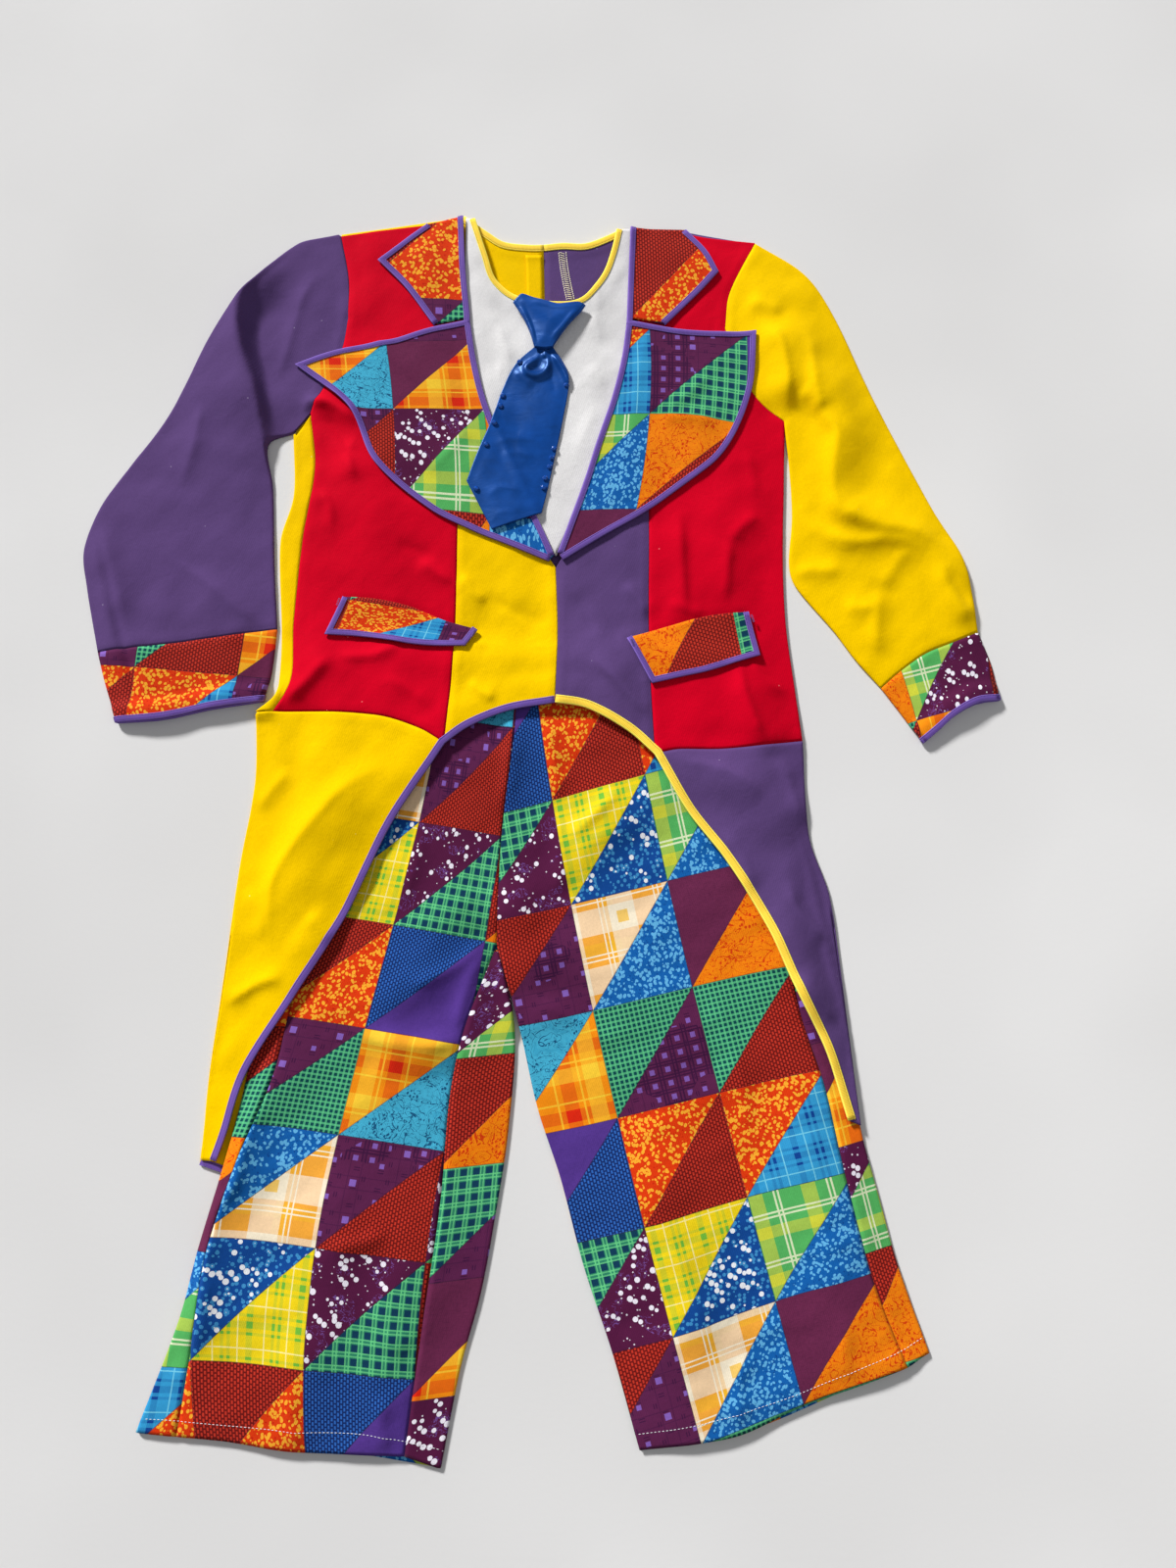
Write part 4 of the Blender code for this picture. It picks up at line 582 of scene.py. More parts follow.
# Bindings: name, layer whose edge is bound, slot, width as a share of the common one, then the sides in
# order with the cloth on their left.
BINDINGS = (
    ("tail_binding_right", "upper", "purple_binding", 1.1, ("-right_cut", "right_cut_centre")),
    ("tail_binding_left", "upper", "yellow_binding", 1.3, ("left_cut_centre", "left_cut")),
    ("neck_binding_front", "upper", "yellow_binding", 1.0, ("-neckline",)),
    ("neck_binding_back_right", "low", "yellow_binding", 1.25, ("-right_back_neck",)),
    ("neck_binding_back_left", "low", "yellow_binding", 1.25, ("-left_back_neck",)),
    ("tail_hem_binding_right", "low", "purple_binding", 1.1, ("right_back_tip",)),
    ("collar_binding_right", "trims", "purple_binding", 1.0, ("collar_right_upper", "collar_right_lower")),
    ("collar_binding_left", "trims", "purple_binding", 1.0, ("-collar_left_lower", "-collar_left_upper")),
    (
        "front_edge_binding_right", "trims", "purple_binding", 1.0,
        ("-lapel_right_inner", "-collar_right_inner"),
    ),
    ("front_edge_binding_left", "trims", "purple_binding", 1.0, ("collar_left_inner", "lapel_left_inner")),
    ("lapel_binding_right", "trims", "purple_binding", 1.0, ("lapel_right_top", "lapel_right_outer")),
    ("lapel_binding_left", "trims", "purple_binding", 1.0, ("-lapel_left_outer", "-lapel_left_top")),
    (
        "flap_binding_right", "trims", "purple_binding", 0.95,
        ("flap_right_start", "flap_right_bottom", "flap_right_end"),
    ),
    (
        "flap_binding_left", "trims", "purple_binding", 0.95,
        ("flap_left_start", "flap_left_bottom", "flap_left_end"),
    ),
)

# Rows of stitches: name, height map, thread, pitch, length, thickness and turn of a stitch, then the rows.
STITCH_ROWS = (
    (
        "hem_stitches_right", "trousers", "white_thread", (3.1, 2.3, 0.5, 0),
        (((-318, -581), (-296, -582), (-205, -589), (-141, -592), (-89, -603)),),
    ),
    (
        "hem_stitches_left", "trousers", "white_thread", (3.1, 2.3, 0.5, 0),
        (((69, -592), (117, -584), (183, -566), (231, -548), (278, -530), (293, -522)),),
    ),
    (
        "seam_overlock", "low", "cream_thread", (2.2, 7.0, 0.95, 68),
        (((4.6, 430), (6.4, 414), (9.6, 396), (12.1, 384)),),
    ),
    (
        "seam_overlock_edges", "low", "cream_thread", (2.2, 2.5, 0.9, 0),
        (
            ((1.2, 429.6), (3, 413.4), (6.2, 395.2), (8.7, 383.4)),
            ((8, 430.5), (9.8, 414.6), (13, 396.8), (15.5, 384.6)),
        ),
    ),
    (
        "flap_tacks", "trims", "purple_thread", (0.8, 2.4, 0.55, 74),
        (((-190, 90), (-192, 84)), ((-71, 61), (-73, 55)), ((66, 51), (68, 45)), ((172, 75), (174, 69))),
    ),
)
BEADS = (
    (-34, 316), (-49, 283), (-51, 273), (-56, 255), (-63, 234), (-71, 191), (9, 294), (-2, 232), (-4, 223),
    (-6, 214), (-10, 203), (-11, 194),
)


def soft_curve(places):
    """A dense curve that passes softly through the places."""
    points = np.array(places, float)
    padded = np.vstack((2 * points[0] - points[1], points, 2 * points[-1] - points[-2]))
    share = np.linspace(0, 1, 17)[:-1, None]
    parts = []
    for a, b, c, d in zip(padded, padded[1:], padded[2:], padded[3:]):
        before = (c - a) / 2
        after = (d - b) / 2
        length = np.linalg.norm(c - b)
        before *= min(1.0, length / max(np.linalg.norm(before), 1e-6))
        after *= min(1.0, length / max(np.linalg.norm(after), 1e-6))
        rise = 3 * share**2 - 2 * share**3
        start = share**3 - 2 * share**2 + share
        end = share**3 - share**2
        parts.append(b * (1 - rise) + c * rise + before * start + after * end)
    return np.vstack((*parts, points[-1:]))


def length_of(curve):
    return np.linalg.norm(np.diff(curve, axis=0), axis=1).sum()


def distances(points):
    """How far along a line each of its points is."""
    return np.concatenate(([0], np.cumsum(np.linalg.norm(np.diff(points, axis=0), axis=1))))


def spaced(curve, cells):
    """Points along a curve, evenly apart."""
    along = distances(curve)
    stops = np.linspace(0, along[-1], cells + 1)
    return np.column_stack([np.interp(stops, along, curve[:, k]) for k in range(curve.shape[1])])


def joined(*runs):
    """Runs of points end to end, each corner once."""
    return np.vstack([runs[0]] + [part[1:] for part in runs[1:]])


def curve_of(name):
    """A named line's curve, turned round where the name has a minus sign."""
    curve = soft_curve(LINES[name.lstrip("-")])
    return curve[::-1] if name.startswith("-") else curve


def ends_of(names, cells):
    """The cell at which each of some named lines ends, when they go end to end in a number of cells."""
    lengths = np.array([length_of(curve_of(name)) for name in names])
    ends = np.round(np.cumsum(lengths) / lengths.sum() * cells).astype(int)
    for number in range(len(ends)):
        ends[number] = max(ends[number], number + 1)
    for number in range(len(ends)):
        ends[number] = min(ends[number], cells - (len(ends) - 1 - number))
    return ends


def run(names, cells):
    """Named lines end to end in a number of cells, with a point at each corner between them."""
    counts = np.diff(np.concatenate(([0], ends_of(names, cells))))
    return joined(*[spaced(curve_of(name), count) for name, count in zip(names, counts)])


def shares(points):
    along = distances(points)
    return along / along[-1]


def web(top, bottom, start, end):
    """A grid of places [across, down] between four edges."""
    start = np.vstack((top[:1], start[1:-1], bottom[:1]))
    end = np.vstack((top[-1:], end[1:-1], bottom[-1:]))
    across = (shares(top) + shares(bottom))[:, None, None] / 2
    down = (shares(start) + shares(end))[None, :, None] / 2
    sides = (1 - across) * start[None] + across * end[None]
    ends = (1 - down) * top[:, None] + down * bottom[:, None]
    corners = (1 - across) * ((1 - down) * start[0] + down * start[-1])
    corners = corners + across * ((1 - down) * end[0] + down * end[-1])
    return sides + ends - corners


def unit(vectors):
    return vectors / np.maximum(np.linalg.norm(vectors, axis=-1, keepdims=True), 1e-9)


# ---- height maps


def box_cells():
    wide = int((MAP_X[1] - MAP_X[0]) / MAP_CELL) + 1
    long = int((MAP_Y[1] - MAP_Y[0]) / MAP_CELL) + 1
    return wide, long


MAP_PLACES = np.stack(
    np.meshgrid(
        MAP_X[0] + MAP_CELL * np.arange(box_cells()[0]),
        MAP_Y[0] + MAP_CELL * np.arange(box_cells()[1]),
        indexing="ij",
    ),
    axis=-1,
)


def spread(field, reach):
    """The highest value within a reach, in cells, of each cell."""
    for axis in (0, 1):
        wide = field
        for step in range(1, reach + 1):
            wide = np.maximum(wide, np.maximum(np.roll(field, step, axis), np.roll(field, -step, axis)))
        field = wide
    return field


def evened(field, reach):
    """The mean within a reach, in cells, of each cell."""
    for axis in (0, 1):
        total = field.copy()
        for step in range(1, reach + 1):
            total += np.roll(field, step, axis) + np.roll(field, -step, axis)
        field = total / (2 * reach + 1)
    return field


def enveloped(field, reach):
    """A soft surface that is nowhere lower than the field."""
    half = max(1, reach // 2)
    return evened(evened(spread(field, reach), half), reach - half or 1)


def sampled(field, places):
    """Values of a map at some places."""
    x = np.clip((places[..., 0] - MAP_X[0]) / MAP_CELL, 0, field.shape[0] - 1.001)
    y = np.clip((places[..., 1] - MAP_Y[0]) / MAP_CELL, 0, field.shape[1] - 1.001)
    i, j = x.astype(int), y.astype(int)
    s, t = x - i, y - j
    low = field[i, j] * (1 - s) + field[i + 1, j] * s
    high = field[i, j + 1] * (1 - s) + field[i + 1, j + 1] * s
    return low * (1 - t) + high * t


def covered(*grids):
    """Which cells of the map some grids of places [across, down] cover."""
    found = np.zeros(box_cells(), bool)
    for grid in grids:
        grid = grid[..., :2]
        gaps = np.linalg.norm(np.diff(grid, axis=0), axis=2).max()
        gaps = max(gaps, np.linalg.norm(np.diff(grid, axis=1), axis=2).max())
        parts = int(gaps / MAP_CELL * 1.6) + 2
        for s in np.linspace(0, 1, parts):
            for t in np.linspace(0, 1, parts):
                near = grid[:-1, :-1] * (1 - s) + grid[1:, :-1] * s
                far = grid[:-1, 1:] * (1 - s) + grid[1:, 1:] * s
                spot = (near * (1 - t) + far * t).reshape(-1, 2)
                cell = np.round((spot - (MAP_X[0], MAP_Y[0])) / MAP_CELL).astype(int)
                i, j = (np.clip(cell[:, axis], 0, found.shape[axis] - 1) for axis in (0, 1))
                found[i, j] = True
    return found


def near_route(places, route):
    """Distance from places to a route, how far along it they are, on which side, and the route's length."""
    best = np.full(places.shape[:-1], 1e9)
    along, side = np.zeros_like(best), np.zeros_like(best)
    steps = np.linalg.norm(np.diff(route, axis=0), axis=1)
    starts = np.concatenate(([0], np.cumsum(steps)))
    for index, step in enumerate(steps):
        a = route[index]
        way = route[index + 1] - a
        share = np.clip(((places - a) @ way) / (way @ way), 0, 1)
        off = places - (a + share[..., None] * way)
        far = np.hypot(off[..., 0], off[..., 1])
        nearer = far < best
        best = np.where(nearer, far, best)
        along = np.where(nearer, (starts[index] + share * step) / starts[-1], along)
        side = np.where(nearer, way[0] * off[..., 1] - way[1] * off[..., 0], side)
    return best, along, side, starts[-1]


def to_route(route, reach):
    """The part of the map within a reach of a route, and where its cells lie beside the route."""
    low = np.floor((route.min(axis=0) - reach - (MAP_X[0], MAP_Y[0])) / MAP_CELL).astype(int)
    high = np.ceil((route.max(axis=0) + reach - (MAP_X[0], MAP_Y[0])) / MAP_CELL).astype(int) + 1
    window = tuple(slice(max(0, a), max(1, b)) for a, b in zip(low, high))
    return (window, *near_route(MAP_PLACES[window], route))


def faded(along, share):
    """Fades to nothing towards both ends of a route."""
    ends = np.clip(np.minimum(along, 1 - along) / share, 0, 1)
    return ends**2 * (3 - 2 * ends)


def folds_map(folds):
    """How far the large folds lift the cloth."""
    lift = np.zeros(box_cells())
    for row in folds:
        fold = dict(zip(FOLD_COLUMNS, row))
        route = soft_curve(
            ((fold["from_x"], fold["from_y"]), (fold["by_x"], fold["by_y"]), (fold["to_x"], fold["to_y"]))
        )[::4]
        reach = 2.4 * max(fold["right_width"], fold["left_width"])
        window, far, along, side, _ = to_route(route, reach)
        width = np.where(side > 0, fold["left_width"], fold["right_width"])
        lift[window] += fold["rise"] * np.exp(-((far / width) ** 2)) * (0.25 + 0.75 * faded(along, END_FADE))
    return lift


def ridge(crease, far, along, side):
    """How far a crease lifts places beside its route."""
    rise, right_width, left_width = crease[:3]
    width = np.where(side > 0, left_width, right_width)
    slope = (np.hypot(far, CREST) - CREST) / (CREASE_SHARE * width)
    return rise * np.exp(-np.minimum(slope, 20)) * faded(along, END_FADE)


def creases_map(creases):
    """Ridges and troughs: each has a rise, a width on each side and its places."""
    lift = np.zeros(box_cells())
    for crease in creases:
        window, far, along, side, _ = to_route(soft_curve(crease[3:])[::4], 3 * max(crease[1:3]))
        lift[window] += ridge(crease, far, along, side)
    return lift


def creased(grid, creases):
    """A grid with fine creases, which the map's cells are too coarse for."""
    for crease in creases:
        far, along, side, _ = near_route(grid[..., :2], soft_curve(crease[3:])[::4])
        grid[..., 2] += ridge(crease, far, along, side)
    return grid


def fullness_map(outlines, amount, reach=FULLNESS_REACH):
    """How far the upper layer stands off the lower one: nothing at the outline and most inside it."""
    far = np.full(box_cells(), 1e9)
    for name in outlines:
        window, near, _, _, _ = to_route(curve_of(name)[::6], 3 * reach)
        far[window] = np.minimum(far[window], near)
    return amount * (1 - np.exp(-((far / reach) ** 2)))


def near_map(names, reach):
    """1 beside some lines, falling to 0 past a reach."""
    near = np.zeros(box_cells())
    for name in names:
        window, far, _, _, _ = to_route(curve_of(name)[::4], 2.2 * reach)
        near[window] = np.maximum(near[window], np.exp(-((far / reach) ** 6)))
    return near


def seams_map(names):
    """The ditch and the small puckers along sewn seams."""
    lift = np.zeros(box_cells())
    for number, name in enumerate(names):
        window, far, along, _, length = to_route(curve_of(name)[::4], 26)
        wave = np.sin(along * length / 5.3 + number) + 0.7 * np.sin(along * length / 8.9 + 2.4 * number)
        ditch = -0.75 * np.exp(-((far / 1.7) ** 2)) + 0.3 * np.exp(-(((far - 5.5) / 3) ** 2))
        lift[window] += ditch + 0.16 * wave * np.exp(-((far / 9) ** 2))
    return lift


def waves_map(seed, amount, length):
    """Slow unevenness of cloth that has been worn and put down."""
    dice = np.random.default_rng(seed)
    lift = np.zeros(box_cells())
    for _ in range(WAVE_SUMS):
        angle = dice.uniform(0, math.pi)
        pace = 2 * math.pi / (length * dice.uniform(0.6, 1.7))
        bend = dice.uniform(-0.004, 0.004, 2)
        x, y = MAP_PLACES[..., 0], MAP_PLACES[..., 1]
        phase = (x * math.cos(angle) + y * math.sin(angle)) * pace + dice.uniform(0, 6.28)
        phase += np.sin(x * bend[0] * 4 + y * bend[1] * 4) * 1.6
        lift += np.sin(phase)
    return lift * amount / 3


def relief_map(outlines, folds, creases, seams, waves):
    """How far a garment's upper layer stands off its lower one."""
    detail = creases_map(creases) + seams_map(seams)
    for wave in waves:
        detail += waves_map(*wave)
    return fullness_map(outlines, sizes().fullness / MM) + folds_map(folds) + detail


class Pile:
    """How high the cloth laid so far reaches."""

    def __init__(self):
        self.top = np.zeros(box_cells())

    def lay(self, gap, reach=3, full=None):
        """Middle heights of a sheet laid on the pile, as a map. It is soft where it has some fullness."""
        close = enveloped(self.top, reach) + gap + wall() / 2
        if full is None:
            return close
        soft = self.top
        for _ in range(3):
            soft = evened(soft, int(SOFT_REACH / MAP_CELL / 1.5))
        field = np.maximum(close, soft + gap + wall() / 2 + full)
        return np.maximum(field, evened(field, 1))

    def cover(self, grids, height, extra=0.0):
        """Adds sheets to the pile whose middle heights a map gives."""
        found = covered(*grids)
        self.top[found] = np.maximum(self.top, height + wall() / 2 + extra)[found]

    def cover_edge(self, names, height, width, extra):
        """Adds the bindings along some lines to the pile."""
        for name in names:
            window, far, _, _, _ = to_route(curve_of(name)[::4], width)
            near = far < width
            raised = np.maximum(self.top[window], height[window] + wall() / 2 + extra)
            self.top[window] = np.where(near, raised, self.top[window])


# ---- meshes


def sheet_faces(columns, rows, skipped=(), closed=False):
    """Quads of a grid, without those in a skipped (first column, last column, first row, last row)."""
    keep = np.ones((columns if closed else columns - 1, rows - 1), bool)
    for a, b, c, d in skipped:
        keep[a:b, c:d] = False
    i, j = np.nonzero(keep)
    k = (i + 1) % columns
    return np.column_stack((i * rows + j, i * rows + j + 1, k * rows + j + 1, k * rows + j))


def vertex_normals(points, faces):
    corners = points[faces]
    across = unit(np.cross(corners[:, 2] - corners[:, 0], corners[:, 3] - corners[:, 1]))
    total = np.zeros_like(points)
    for corner in range(4):
        np.add.at(total, faces[:, corner], across)
    return unit(total)


def new_piece(name, points, faces, slot, layers):
    """A mesh object from points in millimetres on the plan, riding on the frame in place of its CAD node.

    A layer is a UV map's name and a place (u, v) for each point.
    """
    mesh = bpy.data.meshes.new(name)
    flat_faces = [tuple(int(index) for index in face) for face in faces]
    mesh.from_pydata([tuple(p) for p in (points + TO_MIDDLE) * MM], [], flat_faces)
    mesh.polygons.foreach_set("use_smooth", [True] * len(mesh.polygons))
    loops = np.zeros(len(mesh.loops), int)
    mesh.loops.foreach_get("vertex_index", loops)
    for layer, places in layers:
        uv = mesh.uv_layers.new(name=layer)
        uv.data.foreach_set("uv", places[loops].astype(np.float32).ravel())
    mesh.materials.append(MATERIALS[slot])
    mesh.validate()
    made = bpy.data.objects.new(name, mesh)
    bpy.context.scene.collection.objects.link(made)
    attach(made, "root")
    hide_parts(name)


def cloth(name, grid, slot, skipped=(), closed=False, printed=None, thick=None):
    """A wall of cloth round a grid of middle points [across, down, xyz]."""
    columns, rows = grid.shape[:2]
    thick = thick or wall()
    faces = sheet_faces(columns, rows, skipped, closed)
    used = np.unique(faces)
    renumber = np.full(columns * rows, -1)
    renumber[used] = np.arange(len(used))
    faces = renumber[faces]
    points = grid.reshape(-1, 3)[used]
    normals = vertex_normals(points, faces)
    number = len(points)
    pairs = np.vstack([faces[:, [k, (k + 1) % 4]] for k in range(4)])
    known = {(int(a), int(b)) for a, b in pairs}
    rim = [(b, a, a + number, b + number) for a, b in known if (b, a) not in known]
    walls = np.vstack((points + normals * thick / 2, points - normals * thick / 2))
    solid = [tuple(face) for face in faces] + [tuple(face[::-1] + number) for face in faces] + sorted(rim)
    layers = [("weave", np.tile(points[:, :2] * MM, (2, 1)))]
    if printed is not None:
        places = printed(points) if callable(printed) else printed.reshape(-1, 2)[used]
        layers.append(("print", np.tile(places, (2, 1))))
    new_piece(name, walls, solid, slot, layers)


def drawn_in(grid, sides):
    """Draws the named edges of a grid [across, down, ...] back from their seam lines."""
    grid = grid.copy()
    turned = grid.transpose(1, 0, 2)
    edges = {"start": (grid, 0, 1), "end": (grid, -1, -2), "top": (turned, 0, 1), "bottom": (turned, -1, -2)}
    for side in sides:
        view, edge, inner = edges[side]
        view[edge, :, :2] += SEAM_INSET * unit(view[inner, :, :2] - view[edge, :, :2])
    return grid


def raised(grid, height):
    """A grid of places with the heights of a map."""
    return np.dstack((grid[..., :2], sampled(height, grid)))


def rounded_edge(edge, inner, upper, low, fold_points=FOLD_POINTS):
    """Columns on the round of a folded edge, from beside the fold inwards, and the fold itself."""
    way = unit(inner - edge)
    middle = (sampled(upper, edge) + low) / 2
    reach = fold_points[-1] * 1.4
    columns = []
    for far in fold_points:
        spot = edge + way * far
        round_off = math.sqrt(1 - (1 - far / reach) ** 2)
        columns.append(np.column_stack((spot, middle + (sampled(upper, spot) - middle) * round_off)))
    return columns, np.column_stack((edge, middle))


def tube(grid, upper, low, lower_cells=8, open_rows=0, fold_points=FOLD_POINTS):
    """Columns all the way round a flattened tube, whose lower sheet has one height for each row.

    Its first rows may be open on the last side, where the tube is sewn on.
    """
    first, first_fold = rounded_edge(grid[0], grid[1], upper, low, fold_points)
    last, last_fold = rounded_edge(grid[-1], grid[-2], upper, low, fold_points)
    sheet = [raised(grid[k][None], upper)[0] for k in range(1, len(grid) - 1)]
    upper_columns = first + sheet + last[::-1]
    open_edge = grid[-1].copy() + SEAM_INSET * unit(grid[-2] - grid[-1])
    for column, share in zip(upper_columns[-len(last) :], np.linspace(0.6, 1, len(last))):
        spot = grid[-2] * (1 - share) + open_edge * share
        column[:open_rows] = np.column_stack((spot, sampled(upper, spot)))[:open_rows]
    picks = np.linspace(1, len(grid) - 2, lower_cells + 1).round().astype(int)[::-1]
    edge_low = [np.column_stack((column[:, :2], low)) for column in (upper_columns[-1], upper_columns[0])]
    lower_columns = [edge_low[0]] + [np.column_stack((grid[k], low)) for k in picks] + [edge_low[1]]
    columns = np.array(upper_columns + [last_fold] + lower_columns + [first_fold])
    return columns, (len(upper_columns) - 1, len(upper_columns) + 1, 0, open_rows)


def turned(low, seam, upper, first_row=0, parts=4):
    """A lower sheet [across, down, xyz] carried round its start side and back over itself to a seam line."""
    edge = low[0, first_row:, :2].copy()
    edge[0] += unit(edge[1] - edge[0]) * 2.0
    inner = low[1, first_row:, :2]
    columns, fold = rounded_edge(edge, inner, upper, low[0, first_row:, 2])
    near = edge + unit(inner - edge) * FOLD_POINTS[-1] * 1.8
    share = np.linspace(0, 1, parts + 1)[:, None, None]
    places = seam[None] * (1 - share) + near[None] * share
    places[:, 0] += unit(places[:, 1] - places[:, 0]) * 2.0
    places[0] += unit(places[1] - places[0])[..., :2] * SEAM_INSET
    over = [raised(part[None], upper)[0] for part in places] + columns[::-1] + [fold]
    grid = np.vstack((np.repeat(low[:1], len(over), axis=0), low))
    for number, column in enumerate(over):
        grid[number, first_row:] = column
    grid[len(over), first_row:, :2] = over[-2][:, :2]
    return grid, (0, len(over), 0, first_row)


def edge_frames(*sides):
    """Stations along sides that meet at corners: their places and the ways inwards, mitred at the corners.

    Each side is a curve with the cloth on its left.
    """
    tangents = [unit(np.gradient(side, axis=0)) for side in sides]
    places, ways = [], []
    for number, (side, tangent) in enumerate(zip(sides, tangents)):
        inward = np.column_stack((-tangent[:, 1], tangent[:, 0]))
        length = length_of(side)
        fade = min(3 * sizes().binding_width / MM, 0.9 * length)
        along = shares(side) * length
        lean = np.zeros(len(side))
        if number:
            lean += half_turn(tangents[number - 1][-1], tangent[0]) * np.clip(1 - along / fade, 0, 1)
        if number < len(sides) - 1:
            turn = half_turn(tangent[-1], tangents[number + 1][0])
            lean -= turn * np.clip(1 - (length - along) / fade, 0, 1)
        keep = slice(1 if number else 0, None)
        places.append(side[keep])
        ways.append((inward + tangent * lean[:, None])[keep])
    return np.vstack(places), np.vstack(ways)


def half_turn(before, after):
    turn = math.atan2(before[0] * after[1] - before[1] * after[0], before @ after)
    return math.tan(turn / 2)


def strip_section(width):
    """The section of a folded binding: distance inside the edge and height over the cloth's middle."""
    near = wall() / 2 + sizes().binding_air / MM
    far = near + sizes().binding_wall / MM
    top = (
        (width, near + 0.12), (width - 0.25, far - 0.08), (width - 0.8, far),
        (width - STITCH_INSET, far - STITCH_DIP), (width - 1.6, far), (width * 0.4, far + 0.06),
        (0.2, far - 0.02), (-0.45, far * 0.78), (-BIND_OUT, far * 0.32),
    )
    inside = ((width - 0.2, -near), (0.25, -near), (0.1, 0.0), (0.25, near), (width - 0.2, near))
    return top + tuple((s, -h) for s, h in top[::-1]) + inside


def strip(name, surface, slot, width, closed=False):
    """A binding folded over an edge. A surface gives, for a distance inside the edge, places and normals."""
    section = strip_section(width)
    ring = []
    for inside, height in section:
        at, up = surface(inside)
        ring.append(at + up * height)
    points = np.stack(ring, axis=1)
    stations, around = points.shape[:2]
    faces = []
    for s in range(stations if closed else stations - 1):
        t = (s + 1) % stations
        for k in range(around):
            n = (k + 1) % around
            faces.append((s * around + k, s * around + n, t * around + n, t * around + k))
    if not closed:
        last = (stations - 1) * around
        faces += [tuple(reversed(range(around))), tuple(range(last, last + around))]
    flat_points = points.reshape(-1, 3)
    middle = flat_points.mean(axis=0)
    corners = flat_points[np.array([face[:3] for face in faces])] - middle
    if np.einsum("ij,ij->i", corners[:, 0], np.cross(corners[:, 1], corners[:, 2])).sum() < 0:
        faces = [face[::-1] for face in faces]
    length = distances(points[:, 6]) * MM
    across = np.array([inside for inside, _ in section]) / width
    places = np.column_stack((np.repeat(length, around), np.tile(across, stations)))
    new_piece(name, flat_points, faces, slot, [("weave", places)])


def map_surface(height, places, ways):
    """A surface for a binding on a sheet whose middle heights a map gives."""
    up = np.zeros((len(places), 3)) + (0, 0, 1)

    def at(inside):
        spot = places + ways * inside
        under = places + ways * max(inside, 0.0)
        return np.column_stack((spot, sampled(height, under))), up

    return at


def tube_surface(columns, closed=True):
    """A surface for a binding round the open end of a tube [around, down, xyz]."""
    faces = sheet_faces(*columns.shape[:2], closed=closed)
    normals = vertex_normals(columns.reshape(-1, 3), faces).reshape(columns.shape)
    normals *= np.sign(normals[: len(columns) // 2, :, 2].sum())
    steps = np.linalg.norm(np.diff(columns[:, ::-1], axis=1), axis=2)
    far = np.concatenate((np.zeros((len(columns), 1)), np.cumsum(steps, axis=1)), axis=1)

    def at(inside):
        places, ups = [], []
        for column, up, along in zip(columns[:, ::-1], normals[:, ::-1], far):
            place = np.array([np.interp(max(inside, 0.0), along, column[:, k]) for k in range(3)])
            if inside < 0:
                place += unit(column[0] - column[1]) * -inside
            places.append(place)
            ups.append([np.interp(max(inside, 0.0), along, up[:, k]) for k in range(3)])
        return np.array(places), unit(np.array(ups))

    return at


# ---- materials


class Number:
    """A number in a shader tree. Sums of numbers become nodes."""

    def __init__(self, shade, socket):
        self.shade = shade
        self.socket = socket

    def of(self, operation, *others):
        node = self.shade.add("ShaderNodeMath", operation=operation)
        for slot, value in zip(node.inputs, (self, *others)):
            self.shade.put(slot, value)
        return Number(self.shade, node.outputs[0])

    def turned_over(self):
        """One less the number."""
        node = self.shade.add("ShaderNodeMath", operation="SUBTRACT")
        node.inputs[0].default_value = 1.0
        self.shade.put(node.inputs[1], self)
        return Number(self.shade, node.outputs[0])


def sum_of(operation):
    return lambda number, *others: number.of(operation, *others)


for word, operation in (
    ("__add__", "ADD"), ("__sub__", "SUBTRACT"), ("__mul__", "MULTIPLY"), ("__truediv__", "DIVIDE"),
    ("__lt__", "LESS_THAN"), ("__gt__", "GREATER_THAN"), ("near", "COMPARE"), ("most", "MAXIMUM"),
    ("least", "MINIMUM"), ("whole", "FLOOR"), ("part", "FRACT"), ("size", "ABSOLUTE"), ("wave", "SINE"),
):
    setattr(Number, word, sum_of(operation))


